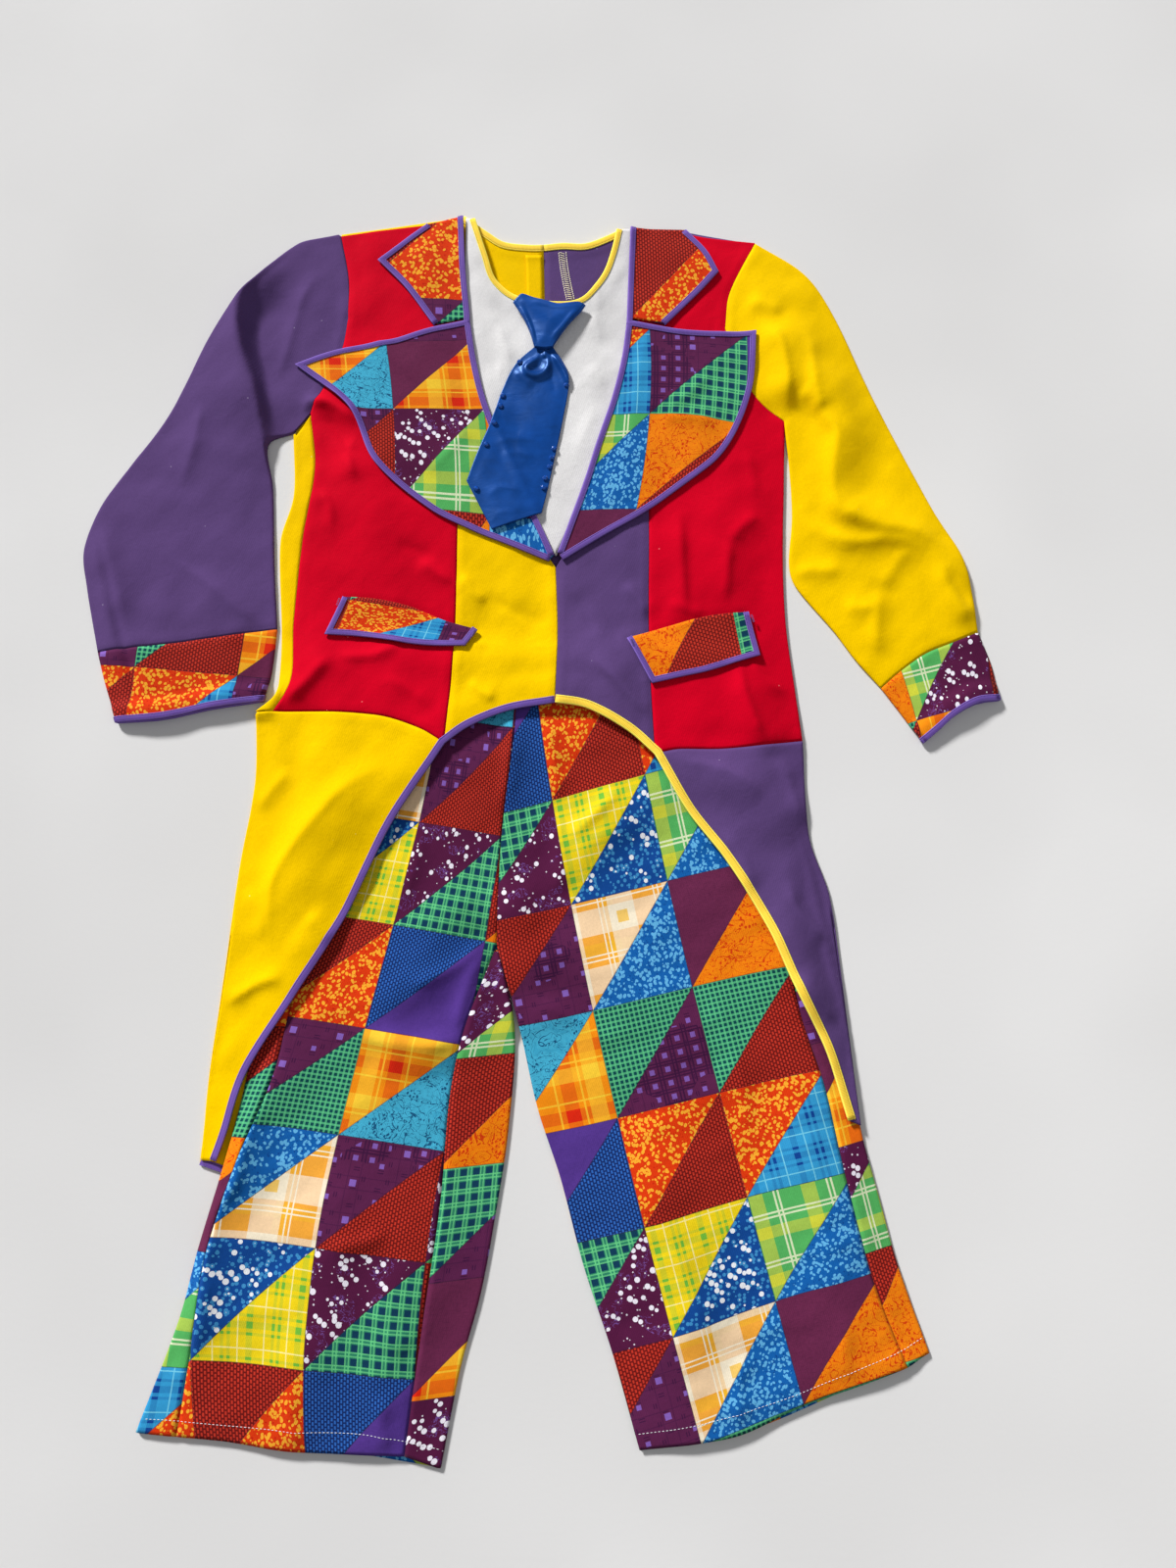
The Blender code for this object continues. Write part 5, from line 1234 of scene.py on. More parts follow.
class Shade:
    """A material's node tree, with short ways to add to it."""

    def __init__(self, name, **settings):
        self.material = bpy.data.materials.new(name)
        self.material.use_nodes = True
        self.tree = self.material.node_tree
        self.shader = self.tree.nodes["Principled BSDF"]
        for key, value in settings.items():
            self.shader.inputs[key.replace("_", " ")].default_value = value

    def add(self, kind, **settings):
        node = self.tree.nodes.new(kind)
        for key, value in settings.items():
            setattr(node, key, value)
        return node

    def put(self, slot, value):
        if isinstance(value, Number):
            value = value.socket
        if isinstance(value, bpy.types.NodeSocket):
            self.tree.links.new(value, slot)
        elif isinstance(value, tuple) and len(value) == 3 and slot.type == "RGBA":
            slot.default_value = (*value, 1.0)
        else:
            slot.default_value = value

    def uv(self, layer):
        """The two numbers of a UV map."""
        node = self.add("ShaderNodeUVMap", uv_map=layer)
        parts = self.add("ShaderNodeSeparateXYZ")
        self.put(parts.inputs[0], node.outputs[0])
        return Number(self, parts.outputs[0]), Number(self, parts.outputs[1])

    def place(self):
        """Object coordinates."""
        return self.add("ShaderNodeTexCoord").outputs["Object"]

    def vector(self, x, y, z=0.0):
        node = self.add("ShaderNodeCombineXYZ")
        for slot, value in zip(node.inputs, (x, y, z)):
            self.put(slot, value)
        return node.outputs[0]

    def noise(self, vector, scale, detail=2.0, rough=0.5, bend=0.0):
        node = self.add("ShaderNodeTexNoise")
        self.put(node.inputs["Vector"], vector)
        for key, value in (("Scale", scale), ("Detail", detail), ("Roughness", rough), ("Distortion", bend)):
            node.inputs[key].default_value = value
        return Number(self, node.outputs["Fac"])

    def cells(self, vector, scale, loose=1.0):
        """How far from the middle of the nearest cell, and a number of that cell's own."""
        node = self.add("ShaderNodeTexVoronoi")
        self.put(node.inputs["Vector"], vector)
        node.inputs["Scale"].default_value = scale
        node.inputs["Randomness"].default_value = loose
        parts = self.add("ShaderNodeSeparateColor")
        self.put(parts.inputs[0], node.outputs["Color"])
        return Number(self, node.outputs["Distance"]), Number(self, parts.outputs[0])

    def ramp(self, factor, stops, steps=False):
        """A colour for a factor. Stops are (position, colour)."""
        node = self.add("ShaderNodeValToRGB")
        node.color_ramp.interpolation = "CONSTANT" if steps else "LINEAR"
        elements = node.color_ramp.elements
        for _ in range(len(stops) - 2):
            elements.new(0.5)
        for element, (position, colour) in zip(elements, stops):
            element.position = position
            element.color = (*colour, 1.0)
        self.put(node.inputs[0], factor)
        return node.outputs[0]

    def pick(self, factor, colours):
        """The colour whose turn it is as a factor goes from 0 to 1."""
        count = len(colours)
        stops = [(number / count, colour) for number, colour in enumerate(colours)]
        return self.ramp(factor, stops, True)

    def mixed(self, factor, a, b, blend="MIX"):
        node = self.add("ShaderNodeMix", data_type="RGBA", blend_type=blend)
        for slot, value in ((node.inputs[0], factor), (node.inputs[6], a), (node.inputs[7], b)):
            self.put(slot, value)
        return node.outputs[2]

    def bump(self, height, distance, strength=1.0, under=None):
        node = self.add("ShaderNodeBump")
        node.inputs["Strength"].default_value = strength
        node.inputs["Distance"].default_value = distance
        self.put(node.inputs["Height"], height)
        if under is not None:
            self.put(node.inputs["Normal"], under)
        return node.outputs[0]

    def finish(self, colour, normal, rough):
        """Joins up the colour, the bump and a roughness that goes from one value to another."""
        self.put(self.shader.inputs["Base Color"], colour)
        self.put(self.shader.inputs["Normal"], normal)
        low, high = rough
        patchy = self.noise(self.place(), 60.0, 3.0, 0.6)
        self.put(self.shader.inputs["Roughness"], patchy * (high - low) + low)
        return self.material


def seen(red, green, blue):
    """A shader colour from one as it shows on a screen, 0 to 255."""
    return tuple(((c / 255 + 0.055) / 1.055) ** 2.4 if c > 10 else c / 3295 for c in (red, green, blue))


def weave(shade, pitch, strength=1.0):
    """Twill of a pitch in metres: its height and a soft unevenness."""
    u, v = shade.uv("weave")
    rows = ((u + v) * (2 * math.pi / pitch)).wave()
    across = ((u - v * 0.35) * (2 * math.pi / pitch / 1.7)).wave()
    fuzz = shade.noise(shade.place(), 900.0, 2.0, 0.6)
    return (rows * 0.3 + across * 0.2 + fuzz * 1.2) * strength


def cloth_material(name, colour):
    """Brushed polyester twill: fuzz, faint shade changes and lint."""
    shade = Shade(name, Sheen_Weight=0.1, Sheen_Roughness=0.5, Specular_IOR_Level=0.12)
    shade.shader.inputs["Sheen Tint"].default_value = (*colour, 1.0)
    shade.shader.inputs["Specular Tint"].default_value = (*colour, 1.0)
    slow = shade.noise(shade.place(), 9.0, 3.0, 0.55)
    fine = shade.noise(shade.place(), 520.0, 3.0, 0.7)
    tone = shade.ramp(slow, [(0.3, tuple(c * 0.86 for c in colour)), (0.72, colour)])
    tone = shade.mixed(fine, shade.mixed(0.24, tone, BLACK), tone)
    lint, dice = shade.cells(shade.place(), 55.0)
    tone = shade.mixed((lint < 0.035) * (dice > 0.6) * 0.4, tone, tuple(min(1.0, c + 0.3) for c in colour))
    puckers = shade.noise(shade.place(), 75.0, 2.0, 0.5, 0.6)
    normal = shade.bump(puckers, 0.0014, 0.3)
    normal = shade.bump(weave(shade, 0.0011), 0.0002, 0.5, normal)
    return shade.finish(tone, normal, (0.75, 0.95))


def binding_material(name, colour):
    """Folded tape: a close rib across it, a row of stitches in a sunken line darkened with painted shade, and
    lighter along both edges.
    """
    shade = Shade(name, Sheen_Weight=0.08, Specular_IOR_Level=0.15)
    shade.shader.inputs["Sheen Tint"].default_value = (*colour, 1.0)
    u, v = shade.uv("weave")
    rib = (u * (2 * math.pi / 0.0012)).wave()
    slow = shade.noise(shade.vector(u * 60.0, v * 0.6), 1.0, 3.0)
    tone = shade.ramp(slow, [(0.25, tuple(c * 0.8 for c in colour)), (0.75, colour)])
    # lighter along the fold and along the inner edge of the tape
    lighter_edges = ((v - 0.96).size() < 0.06).most((v + 0.04).size() < 0.09)
    tone = shade.mixed(lighter_edges * 0.6, tone, tuple(min(1.0, c * 1.5 + 0.06) for c in colour))
    # painted shade: the sunken stitch line is darkened as well as bumped in
    groove_with_painted_shade = (v - 0.76).size() < 0.05
    tone = shade.mixed(groove_with_painted_shade * 0.5, tone, tuple(c * 0.45 for c in colour))
    normal = shade.bump(groove_with_painted_shade * -0.8 + rib * 0.12, 0.0004, 0.8)
    return shade.finish(tone, normal, (0.65, 0.85))


def satin_material(name, colour):
    """Blue satin: fine threads across it, soft creases and a tinted shine."""
    shade = Shade(name, Sheen_Weight=0.1, Sheen_Roughness=0.4, Specular_IOR_Level=0.62, Anisotropic=0.4)
    shade.shader.inputs["Specular Tint"].default_value = (0.16, 0.42, 1.0, 1.0)
    shade.shader.inputs["Sheen Tint"].default_value = (0.1, 0.3, 1.0, 1.0)
    u, v = shade.uv("weave")
    threads = shade.noise(shade.vector(u * 300.0, v * 2800.0), 1.0, 2.0)
    slow = shade.noise(shade.place(), 38.0, 3.0, 0.6)
    tone = shade.ramp(slow, [(0.3, tuple(c * 0.55 for c in colour)), (0.7, colour)])
    tone = shade.mixed(threads * 0.35, tone, tuple(c * 0.7 for c in colour))
    creases = shade.noise(shade.vector(u * 26.0, v * 60.0), 1.0, 3.0, 0.5, 0.5)
    normal = shade.bump(creases, 0.003, 0.3)
    normal = shade.bump(threads, 0.00015, 0.4, normal)
    return shade.finish(tone, normal, (0.28, 0.42))


def thread_material(name, colour):
    """Spun thread: a twist along each stitch."""
    shade = Shade(name, Sheen_Weight=0.15)
    twist = shade.noise(shade.place(), 2600.0, 2.0, 0.6)
    tone = shade.ramp(twist, [(0.3, tuple(c * 0.7 for c in colour)), (0.7, colour)])
    return shade.finish(tone, shade.bump(twist, 0.0001, 0.6), (0.6, 0.85))


def bead_material(name, colour):
    """Dark blue glass with painted glints and painted shade: its faces are darkened and lightened at random.
    """
    shade = Shade(name, Coat_Weight=0.4, Coat_Roughness=0.05)
    shade.shader.inputs["Specular IOR Level"].default_value = 0.8
    shade.shader.inputs["Specular Tint"].default_value = (0.3, 0.55, 1.0, 1.0)
    painted_glints_and_dents = shade.noise(shade.place(), 700.0, 2.0, 0.6)
    painted_glint = tuple(min(1.0, c * 1.3) for c in colour)
    # painted shade and painted glints on the faces, from the same noise as the dents
    tone = shade.ramp(painted_glints_and_dents, [(0.35, tuple(c * 0.4 for c in colour)), (0.7, painted_glint)])
    return shade.finish(tone, shade.bump(painted_glints_and_dents, 0.0002, 0.4), (0.08, 0.2))


# The print's cloths: style, ground colour, then the colours of its first and second motif.
KINDS = {
    "plum_squares": ("squares", (94, 34, 76), (136, 98, 186), (58, 18, 60)),
    "red_mesh": ("mesh", (158, 34, 26), (208, 58, 40), (96, 14, 16)),
    "plum_dots": ("dots", (86, 24, 64), (246, 240, 250), (122, 84, 160)),
    "green_check": ("check", (50, 144, 106), (14, 60, 88), (112, 216, 140)),
    "navy_mesh": ("mesh", (28, 64, 142), (52, 112, 198), (16, 36, 90)),
    "violet": ("plain", (88, 56, 144), (72, 46, 128), (98, 66, 158)),
    "orange_plaid": ("bands", (252, 146, 16), (255, 208, 56), (226, 40, 14)),
    "blue_toile": ("toile", (70, 178, 212), (12, 66, 112), (54, 158, 196)),
    "blue_leaf": ("leaf", (18, 98, 176), (104, 186, 234), (12, 68, 142)),
    "cream_plaid": ("cream", (250, 172, 60), (254, 240, 212), (252, 200, 36)),
    "blue_dots": ("flowers", (16, 74, 152), (246, 248, 252), (66, 150, 206)),
    "yellow_check": ("lines", (246, 216, 24), (255, 242, 168), (116, 188, 62)),
    "orange_berries": ("leaf", (226, 58, 10), (254, 178, 48), (196, 28, 8)),
    "green_gingham": ("gingham", (96, 196, 134), (8, 72, 78), (48, 144, 112)),
    "orange_toile": ("toile", (250, 136, 10), (214, 44, 8), (242, 116, 8)),
    "plum_weave": ("plain", (108, 40, 76), (78, 26, 58), (116, 50, 86)),
    "green_plaid": ("madras", (86, 180, 96), (240, 244, 206), (214, 216, 64)),
    "blue_plaid": ("lines", (52, 156, 210), (126, 212, 234), (14, 66, 146)),
}
STYLES = (
    "plain", "mesh", "dots", "check", "bands", "toile", "leaf", "lines", "gingham", "squares", "madras",
    "cream", "flowers",
)
# The repeat of the print: rows of four squares, each square's upper left half and its lower right half.
REPEAT = (
    (
        ("plum_squares", "red_mesh"), ("plum_dots", "green_plaid"), ("orange_toile", "plum_weave"),
        ("blue_leaf", "cream_plaid"),
    ),
    (
        ("plum_dots", "green_check"), ("red_mesh", "orange_toile"), ("blue_leaf", "green_plaid"),
        ("blue_dots", "yellow_check"),
    ),
    (
        ("navy_mesh", "violet"), ("green_check", "plum_squares"), ("blue_plaid", "orange_berries"),
        ("red_mesh", "orange_berries"),
    ),
    (
        ("orange_plaid", "blue_toile"), ("plum_weave", "orange_plaid"), ("red_mesh", "green_gingham"),
        ("plum_squares", "green_gingham"),
    ),
)


def line_near(number, pitch, middle, half):
    """1 on stripes of a half width that come once in a pitch."""
    return ((number / pitch).part() * pitch - middle).size() < half


def lines_near(number, pitch, half, *middles):
    """1 on several stripes that come once in a pitch."""
    found = line_near(number, pitch, middles[0], half)
    for middle in middles[1:]:
        found = found.most(line_near(number, pitch, middle, half))
    return found


def print_masks(shade, x, y):
    """For each style of cloth, where its first and its second motif lie. x and y are in millimetres."""
    column = (x / 2.6).whole()
    shifted = y + (column * 0.5).part() * 3.8
    mesh = ((x / 2.6).part() > 0.42) * ((shifted / 3.8).part() > 0.34)
    flat = shade.vector(x, y)
    far, dice = shade.cells(flat, 1 / 8.2, 0.72)
    twin, twin_dice = shade.cells(shade.vector(x + 3.6, y + 2.9), 1 / 8.2, 0.72)
    big = (far < (dice * 0.05 + 0.265)).most((twin < 0.26) * (twin_dice > 0.5))
    far, dice = shade.cells(shade.vector(x + 31.0, y), 1 / 4.6, 1.0)
    small = (far < (dice * 0.1 + 0.1)) * (dice > 0.25)
    far, dice = shade.cells(shade.vector(x, y + 17.0), 1 / 4.0, 0.8)
    flower = far < (dice * 0.1 + 0.38)
    heart = (far < 0.15) * (dice > 0.4)
    leafy = None
    for a, b in ((0.8, 0.55), (0.8, -0.55)):
        far, dice = shade.cells(shade.vector(x * a + y * b, y * 0.62 - x * b * 0.62), 1 / 3.2, 0.9)
        part = far < (dice * 0.2 + 0.27)
        leafy = part if leafy is None else leafy.most(part * (dice > 0.3))
    far, dice = shade.cells(shade.vector(x * 0.7 - y * 0.5, y * 0.7 + x * 0.5), 1 / 2.1, 1.0)
    specks = (far < (dice * 0.25 + 0.1)) * leafy.turned_over()
    vine = shade.noise(flat, 0.05, 2.0, 0.5, 1.6)
    curl = shade.noise(shade.vector(x + 57.0, y), 0.075, 2.0, 0.5, 2.4)
    clump = shade.noise(shade.vector(x, y + 83.0), 0.045, 1.0, 0.5) > 0.56
    far, dice = shade.cells(shade.vector(x, y * 0.8 + x * 0.2), 1 / 2.9, 0.9)
    buds = (far < (dice * 0.2 + 0.2)) * clump
    stems = ((vine - 0.5).size() < 0.011).most((curl - 0.52).size() < 0.009)
    wave = shade.noise(flat, 0.16, 2.0, 0.5, 1.5)
    strokes = ((wave - 0.5).size() < 0.02) * clump
    gx, gy = line_near(x, 4.3, 2.1, 1.3), line_near(y, 4.3, 2.1, 1.3)
    cx, cy = line_near(x, 10.2, 3.0, 2.7), line_near(y, 10.2, 3.0, 2.7)
    net = lines_near(x, 10.2, 0.55, 6.3, 9.1).most(lines_near(y, 10.2, 0.55, 6.3, 9.1))
    wide_x, wide_y = line_near(x, 60.0, 14.0, 7.0), line_near(y, 54.0, 12.0, 6.0)
    pale = lines_near(x, 60.0, 0.8, 25.0, 47.0).most(lines_near(y, 54.0, 0.8, 22.0, 44.0))
    red_x, red_y = line_near(x, 60.0, 36.0, 6.0), line_near(y, 54.0, 33.0, 5.0)
    cream_x, cream_y = line_near(x, 52.0, 16.0, 12.0), line_near(y, 48.0, 14.0, 11.0)
    gold = line_near(x, 52.0, 16.0, 5.0) * line_near(y, 48.0, 14.0, 5.0)
    thin = lines_near(x, 52.0, 0.6, 32.0, 36.0).most(lines_near(y, 48.0, 0.6, 30.0, 34.0))
    line_x = lines_near(x, 40.0, 0.5, 5.0, 24.0)
    line_y = lines_near(y, 31.0, 0.5, 6.0)
    bars_x = line_near(x, 40.0, 33.0, 2.5).most(lines_near(x, 40.0, 1.3, 12.0, 17.0))
    bars_y = line_near(y, 31.0, 20.0, 2.6).most(lines_near(y, 31.0, 1.1, 13.0, 26.5))
    patch = bars_x * bars_y * 0.9
    band = bars_x.most(bars_y) * 0.3
    plaid = lines_near(x, 44.0, 0.8, 9.0, 12.5).most(lines_near(y, 40.0, 0.8, 22.0, 25.5))
    yellow = (line_near(x, 44.0, 28.0, 6.0) + line_near(y, 40.0, 10.0, 5.0)) * 0.5
    dense = shade.noise(shade.vector(x + 40.0, y), 0.011, 1.0, 0.5) > 0.57
    square = line_near(x, 40.0, 8.0, 2.7) * line_near(y, 29.0, 9.0, 2.7)
    square = square.most(line_near(x, 40.0, 29.0, 2.0) * line_near(y, 29.0, 22.0, 2.0)) * dense.turned_over()
    square = square.most(line_near(x, 14.0, 4.0, 2.2) * line_near(y, 11.5, 4.0, 2.2) * dense * 0.85)
    dash = lines_near(x, 20.0, 0.4, 15.0, 17.0) * line_near(y, 14.5, 5.0, 2.0)
    dash = dash.most(line_near(x, 20.0, 9.0, 2.6) * lines_near(y, 14.5, 0.4, 11.0, 13.0))
    dash = dash.most(lines_near(x, 40.0, 0.4, 3.0, 13.0).most(lines_near(y, 29.0, 0.4, 4.0, 14.0)) * 0.5)
    dash = dash.most(lines_near(x, 14.0, 0.7, 9.5, 12.5).most(lines_near(y, 11.5, 0.6, 8.0, 10.4)) * dense)
    across = shade.noise(shade.vector(x * 0.16, y * 1.6), 1.0, 2.0)
    threads = across.most(shade.noise(shade.vector(x * 1.6, y * 0.16), 1.0, 2.0))
    return {
        "plain": ((threads - 0.5) * 2.4, None),
        "mesh": (mesh * 0.85, mesh.turned_over() * 0.8),
        "dots": (big.most(small * 0.75), strokes * 0.8),
        "check": (cx * cy * 0.8 + cx.most(cy) * 0.2, net * 0.85),
        "bands": ((wide_x + wide_y) * 0.5 + pale * 0.7, (red_x + red_y) * 0.5),
        "toile": (stems.most(buds) * 0.9, (vine > 0.62) * 0.5),
        "leaf": (leafy * 0.95, specks * 0.8),
        "lines": (line_x.most(line_y) * 0.8, patch + band),
        "gingham": (gx * gy, gx.most(gy) * 0.45),
        "squares": (square, dash * 0.85),
        "madras": (plaid * 0.8, yellow),
        "cream": ((cream_x + cream_y) * 0.6 + thin - gold, gold * 0.9 + (red_x + red_y) * 0.3),
        "flowers": (big.most(heart * 0.7), flower * 0.9),
    }


def chosen_kind(shade, u, v):
    """Which of the cloths shows in a square's half, as a number from 0 to 1."""
    half = (u.part() + v.part()) > 1.0
    place = (v.whole().of("WRAP", 4.0, 0.0) * 8.0 + u.whole().of("WRAP", 4.0, 0.0) * 2.0 + half + 0.5) / 32.0
    names = list(KINDS)
    order = [names.index(kind) for row in REPEAT for square in row for kind in square]
    return shade.pick(place, [((number + 0.5) / len(names),) * 3 for number in order])


def patchwork_material(name):
    """Printed patchwork: squares of cloth cut along one diagonal, each half of its own kind."""
    shade = Shade(name, Sheen_Weight=0.03, Sheen_Roughness=0.5, Specular_IOR_Level=0.06)
    u, v = shade.uv("print")
    kind = chosen_kind(shade, u, v)
    grounds, first, second, styles = (
        shade.pick(kind, [pick(row) for row in KINDS.values()])
        for pick in (
            lambda row: seen(*row[1]),
            lambda row: seen(*row[2]),
            lambda row: seen(*row[3]),
            lambda row: (STYLES.index(row[0]) / STYLE_PARTS,) * 3,
        )
    )
    style = grey(shade, styles)
    square = sizes().print_square / MM
    slip = grey(shade, kind)
    x, y = u * square + (slip * 97.0).part() * 40.0, v * square + (slip * 53.0).part() * 40.0
    masks = print_masks(shade, x, y)
    totals = [None, None]
    for number, name_of_style in enumerate(STYLES):
        chosen = style.near(number / STYLE_PARTS, 0.02)
        for which, mask in enumerate(masks[name_of_style]):
            if mask is not None:
                part = chosen * mask
                totals[which] = part if totals[which] is None else totals[which] + part
    colour = shade.mixed(totals[1].least(1.0).most(0.0), grounds, second)
    colour = shade.mixed(totals[0].least(1.0).most(0.0), colour, first)
    a, b = u.part(), v.part()
    across = (a - 0.5).size() > (0.5 - JOIN_WIDTH / square)
    down = (b - 0.5).size() > (0.5 - JOIN_WIDTH / square)
    slant = (a + b - 1.0).size() < (0.5 / square)
    joins = across.most(down).most(slant)
    colour = shade.mixed(joins * 0.55, colour, JOIN_DARK)
    fine = shade.noise(shade.place(), 520.0, 3.0, 0.7)
    colour = shade.mixed(fine, shade.mixed(0.26, colour, BLACK), colour)
    slow = shade.noise(shade.place(), 9.0, 3.0, 0.55)
    colour = shade.mixed(slow, shade.mixed(0.16, colour, BLACK), colour)
    puckers = shade.noise(shade.place(), 75.0, 2.0, 0.5, 0.6)
    normal = shade.bump(puckers, 0.0014, 0.3)
    normal = shade.bump(weave(shade, 0.0009) - joins * 1.2, 0.0002, 0.5, normal)
    return shade.finish(colour, normal, (0.7, 0.92))


def grey(shade, colour):
    """The number that a grey colour holds."""
    parts = shade.add("ShaderNodeSeparateColor")
    shade.put(parts.inputs[0], colour)
    return Number(shade, parts.outputs[0])


# ---- the print's places


def terms(places, degree):
    """The terms of a curved grid's sums: 1 is straight and 3 the most bent."""
    x, y = places[..., 0] / 100, places[..., 1] / 100
    found = [np.ones_like(x), x, y]
    if degree > 1:
        found.append(x * y)
    if degree > 2:
        found += [x * x, y * y]
    if degree > 3:
        found += [x**3, x * x * y, x * y * y, y**3]
    return np.stack(found, axis=-1)


def print_of(name):
    """Gives the print's squares at places of a piece, from the corners of a few squares."""
    degree, corners = PRINTS[name]
    corners = np.array(corners, float)
    sums, *_ = np.linalg.lstsq(terms(corners[:, 2:], degree), corners[:, :2], rcond=None)
    return lambda points: terms(points[..., :2], degree) @ sums


def leg_corners(columns):
    """Corners of squares down a leg, with a column more on each side."""
    found = []
    for u, first, step, places in columns:
        found += [(u, first + step * number, *place) for number, place in enumerate(places)]
    pairs = ((columns[0], columns[1]), (columns[-1], columns[-2]))
    for (u, first, step, places), (other, _, _, others) in pairs:
        for number, (place, beside) in enumerate(zip(places, others)):
            mirrored = [2 * p - q for p, q in zip(place, beside)]
            found.append((2 * u - other, first + step * number, *mirrored))
    return tuple(found)


def strip_print(grid, side, outer_columns, inner_columns=0):
    """The print on a back piece: on the strips that turn to the front it has its own squares."""
    places = grid[..., :2]
    found = places / PRINT_PITCH
    strips = [(STRIP_PRINTS["outer_" + side], slice(0, outer_columns))]
    if side == "right":
        strips = [
            (STRIP_PRINTS["outer_right"], slice(-outer_columns, None)),
            (STRIP_PRINTS["inner_right"], slice(0, inner_columns)),
        ]
    for (seam, u_start, u_step, v_start, pitch, lean), columns in strips:
        spots = places[columns]
        far = near_route(spots, curve_of(seam)[::8])[0]
        found[columns, :, 0] = u_start + u_step * far / PRINT_PITCH
        found[columns, :, 1] = (v_start - spots[..., 1] + lean * far) / pitch
    return found


# Corners of the print's squares: column and row of the repeat, then the place (x, y).
PRINTS = {
    "trouser_front_right": (4, leg_corners((
        (
            0, 0, 1,
            ((-104, -18), (-112, -107), (-132, -196), (-167, -281), (-177, -367), (-185, -452), (-198, -544)),
        ),
        (
            1, 0, 1,
            ((-37, -26), (-45, -120), (-54, -211), (-80, -293), (-86, -377), (-97, -464), (-108, -551)),
        ),
    ))),
    "trouser_front_left": (4, leg_corners((
        (
            0, 3, -1,
            ((-18, 6), (3, -99), (6, -174), (32, -261), (54, -351), (69, -437), (96, -521), (116, -598)),
        ),
        (
            -1, 3, -1,
            (
                (62, 28), (78, -71), (94, -155), (115, -244), (142, -337), (156, -413), (178, -495),
                (200, -570),
            ),
        ),
    ))),
    "lapel_right": (3, (
        (1, 3, -156, 334), (2, 3, -79, 343), (1, 4, -148, 271), (2, 4, -63, 262),
        (1, 5, -145, 179), (0, 4, -234, 282), (0, 3, -234, 330), (0, 5, -229, 184),
        (2, 5, -60, 175),
    )),
    "lapel_left": (3, (
        (-2, 2, 82, 268), (-2, 3, 88, 348), (-3, 3, 171, 346), (-3, 2, 174, 249),
        (-1, 2, 0, 262), (-1, 3, 3, 340), (-2, 1, 73, 170), (-3, 1, 150, 168), (-1, 1, -7, 169),
    )),
    "collar_right": (2, (
        (-1, 3, -191, 385), (0, 3, -86, 378), (0, 2, -88, 485), (-1, 2, -193, 486),
    )),
    "collar_left": (2, (
        (-1, 3, 65, 357), (0, 2, 148, 451), (-1, 2, 62, 454), (0, 3, 154, 355),
    )),
    "cuff_right": (2, (
        (-1, 3, -368, 28), (-2, 3, -278, 20), (-2, 4, -268, 109), (-1, 4, -359, 117),
        (-1, 2, -375, -58), (-2, 2, -287, -65),
    )),
    "cuff_left": (2, (
        (-2, 0, 314, -19), (-2, 1, 288, 70), (-3, 0, 381, -1), (-3, 1, 376, 89),
    )),
    "flap_right": (2, (
        (-2, 3, -94, 75), (-2, 2, -110, 31), (-1, 2, -197, 45), (-1, 3, -181, 89),
    )),
    "flap_left": (2, (
        (-3, 2, 149, 110), (-3, 1, 164, 25), (-2, 1, 86, -9), (-2, 2, 50, 84),
    )),
}
# Strips: seam they start at, column there and its step away from the seam, height of row 0, pitch, lean.
STRIP_PRINTS = {
    "outer_right": ("right_leg_seam", -1.3, -1.0, -15.0, 88.0, 0.0),
    "inner_right": ("right_inseam", 1.05, 1.0, -217.5, 87.5, 0.1),
    "outer_left": ("left_leg_seam", 1.52, 1.1, -375.5, 81.7, 0.25),
}


# ---- pieces


def sizes():
    return bpy.context.scene.costume_sizes


def wall():
    return sizes().wall / MM


def under_binding():
    """How much a binding adds over or under the cloth."""
    return (sizes().binding_wall + sizes().binding_air) / MM


def count(cell, *sides):
    """How many cells of a size in metres the longest of some sides takes."""
    longest = max(sum(length_of(curve_of(name)) for name in side) for side in sides)
    return max(2, int(round(longest * MM / cell)))


def web_of(name, across_cell=None, down_cell=None):
    """Places of a piece [across, down] from the lines round it."""
    top, bottom, start, end = OUTLINES[name]
    across = count(across_cell or sizes().cell, top, bottom)
    down = count(down_cell or sizes().cell, start, end)
    return web(run(top, across), run(bottom, across), run(start, down), run(end, down))


def rolled(grid, side, low, first_row=0):
    """Rolls one side of a raised grid down towards the lower sheet that it is sewn to."""
    turn = side == "top"
    grid = grid.transpose(1, 0, 2) if turn else grid
    grid = grid[::-1] if side == "end" else grid
    edge, inner = grid[0], grid[1]
    under = sampled(low, edge)
    middle = (edge[:, 2] + under) / 2 + 0.62 * wall()
    reach = FOLD_POINTS[-1] * 1.4
    columns = []
    for far in (0.0, *FOLD_POINTS):
        column = edge + unit(inner - edge) * far
        round_off = math.sqrt(1 - (1 - far / reach) ** 2)
        height = middle + (column[:, 2] - middle) * round_off
        column[first_row:, 2] = np.minimum(column[:, 2], height)[first_row:]
        columns.append(column)
    grid = np.concatenate((np.array(columns), grid[1:]))
    grid = grid[::-1] if side == "end" else grid
    return grid.transpose(1, 0, 2) if turn else grid


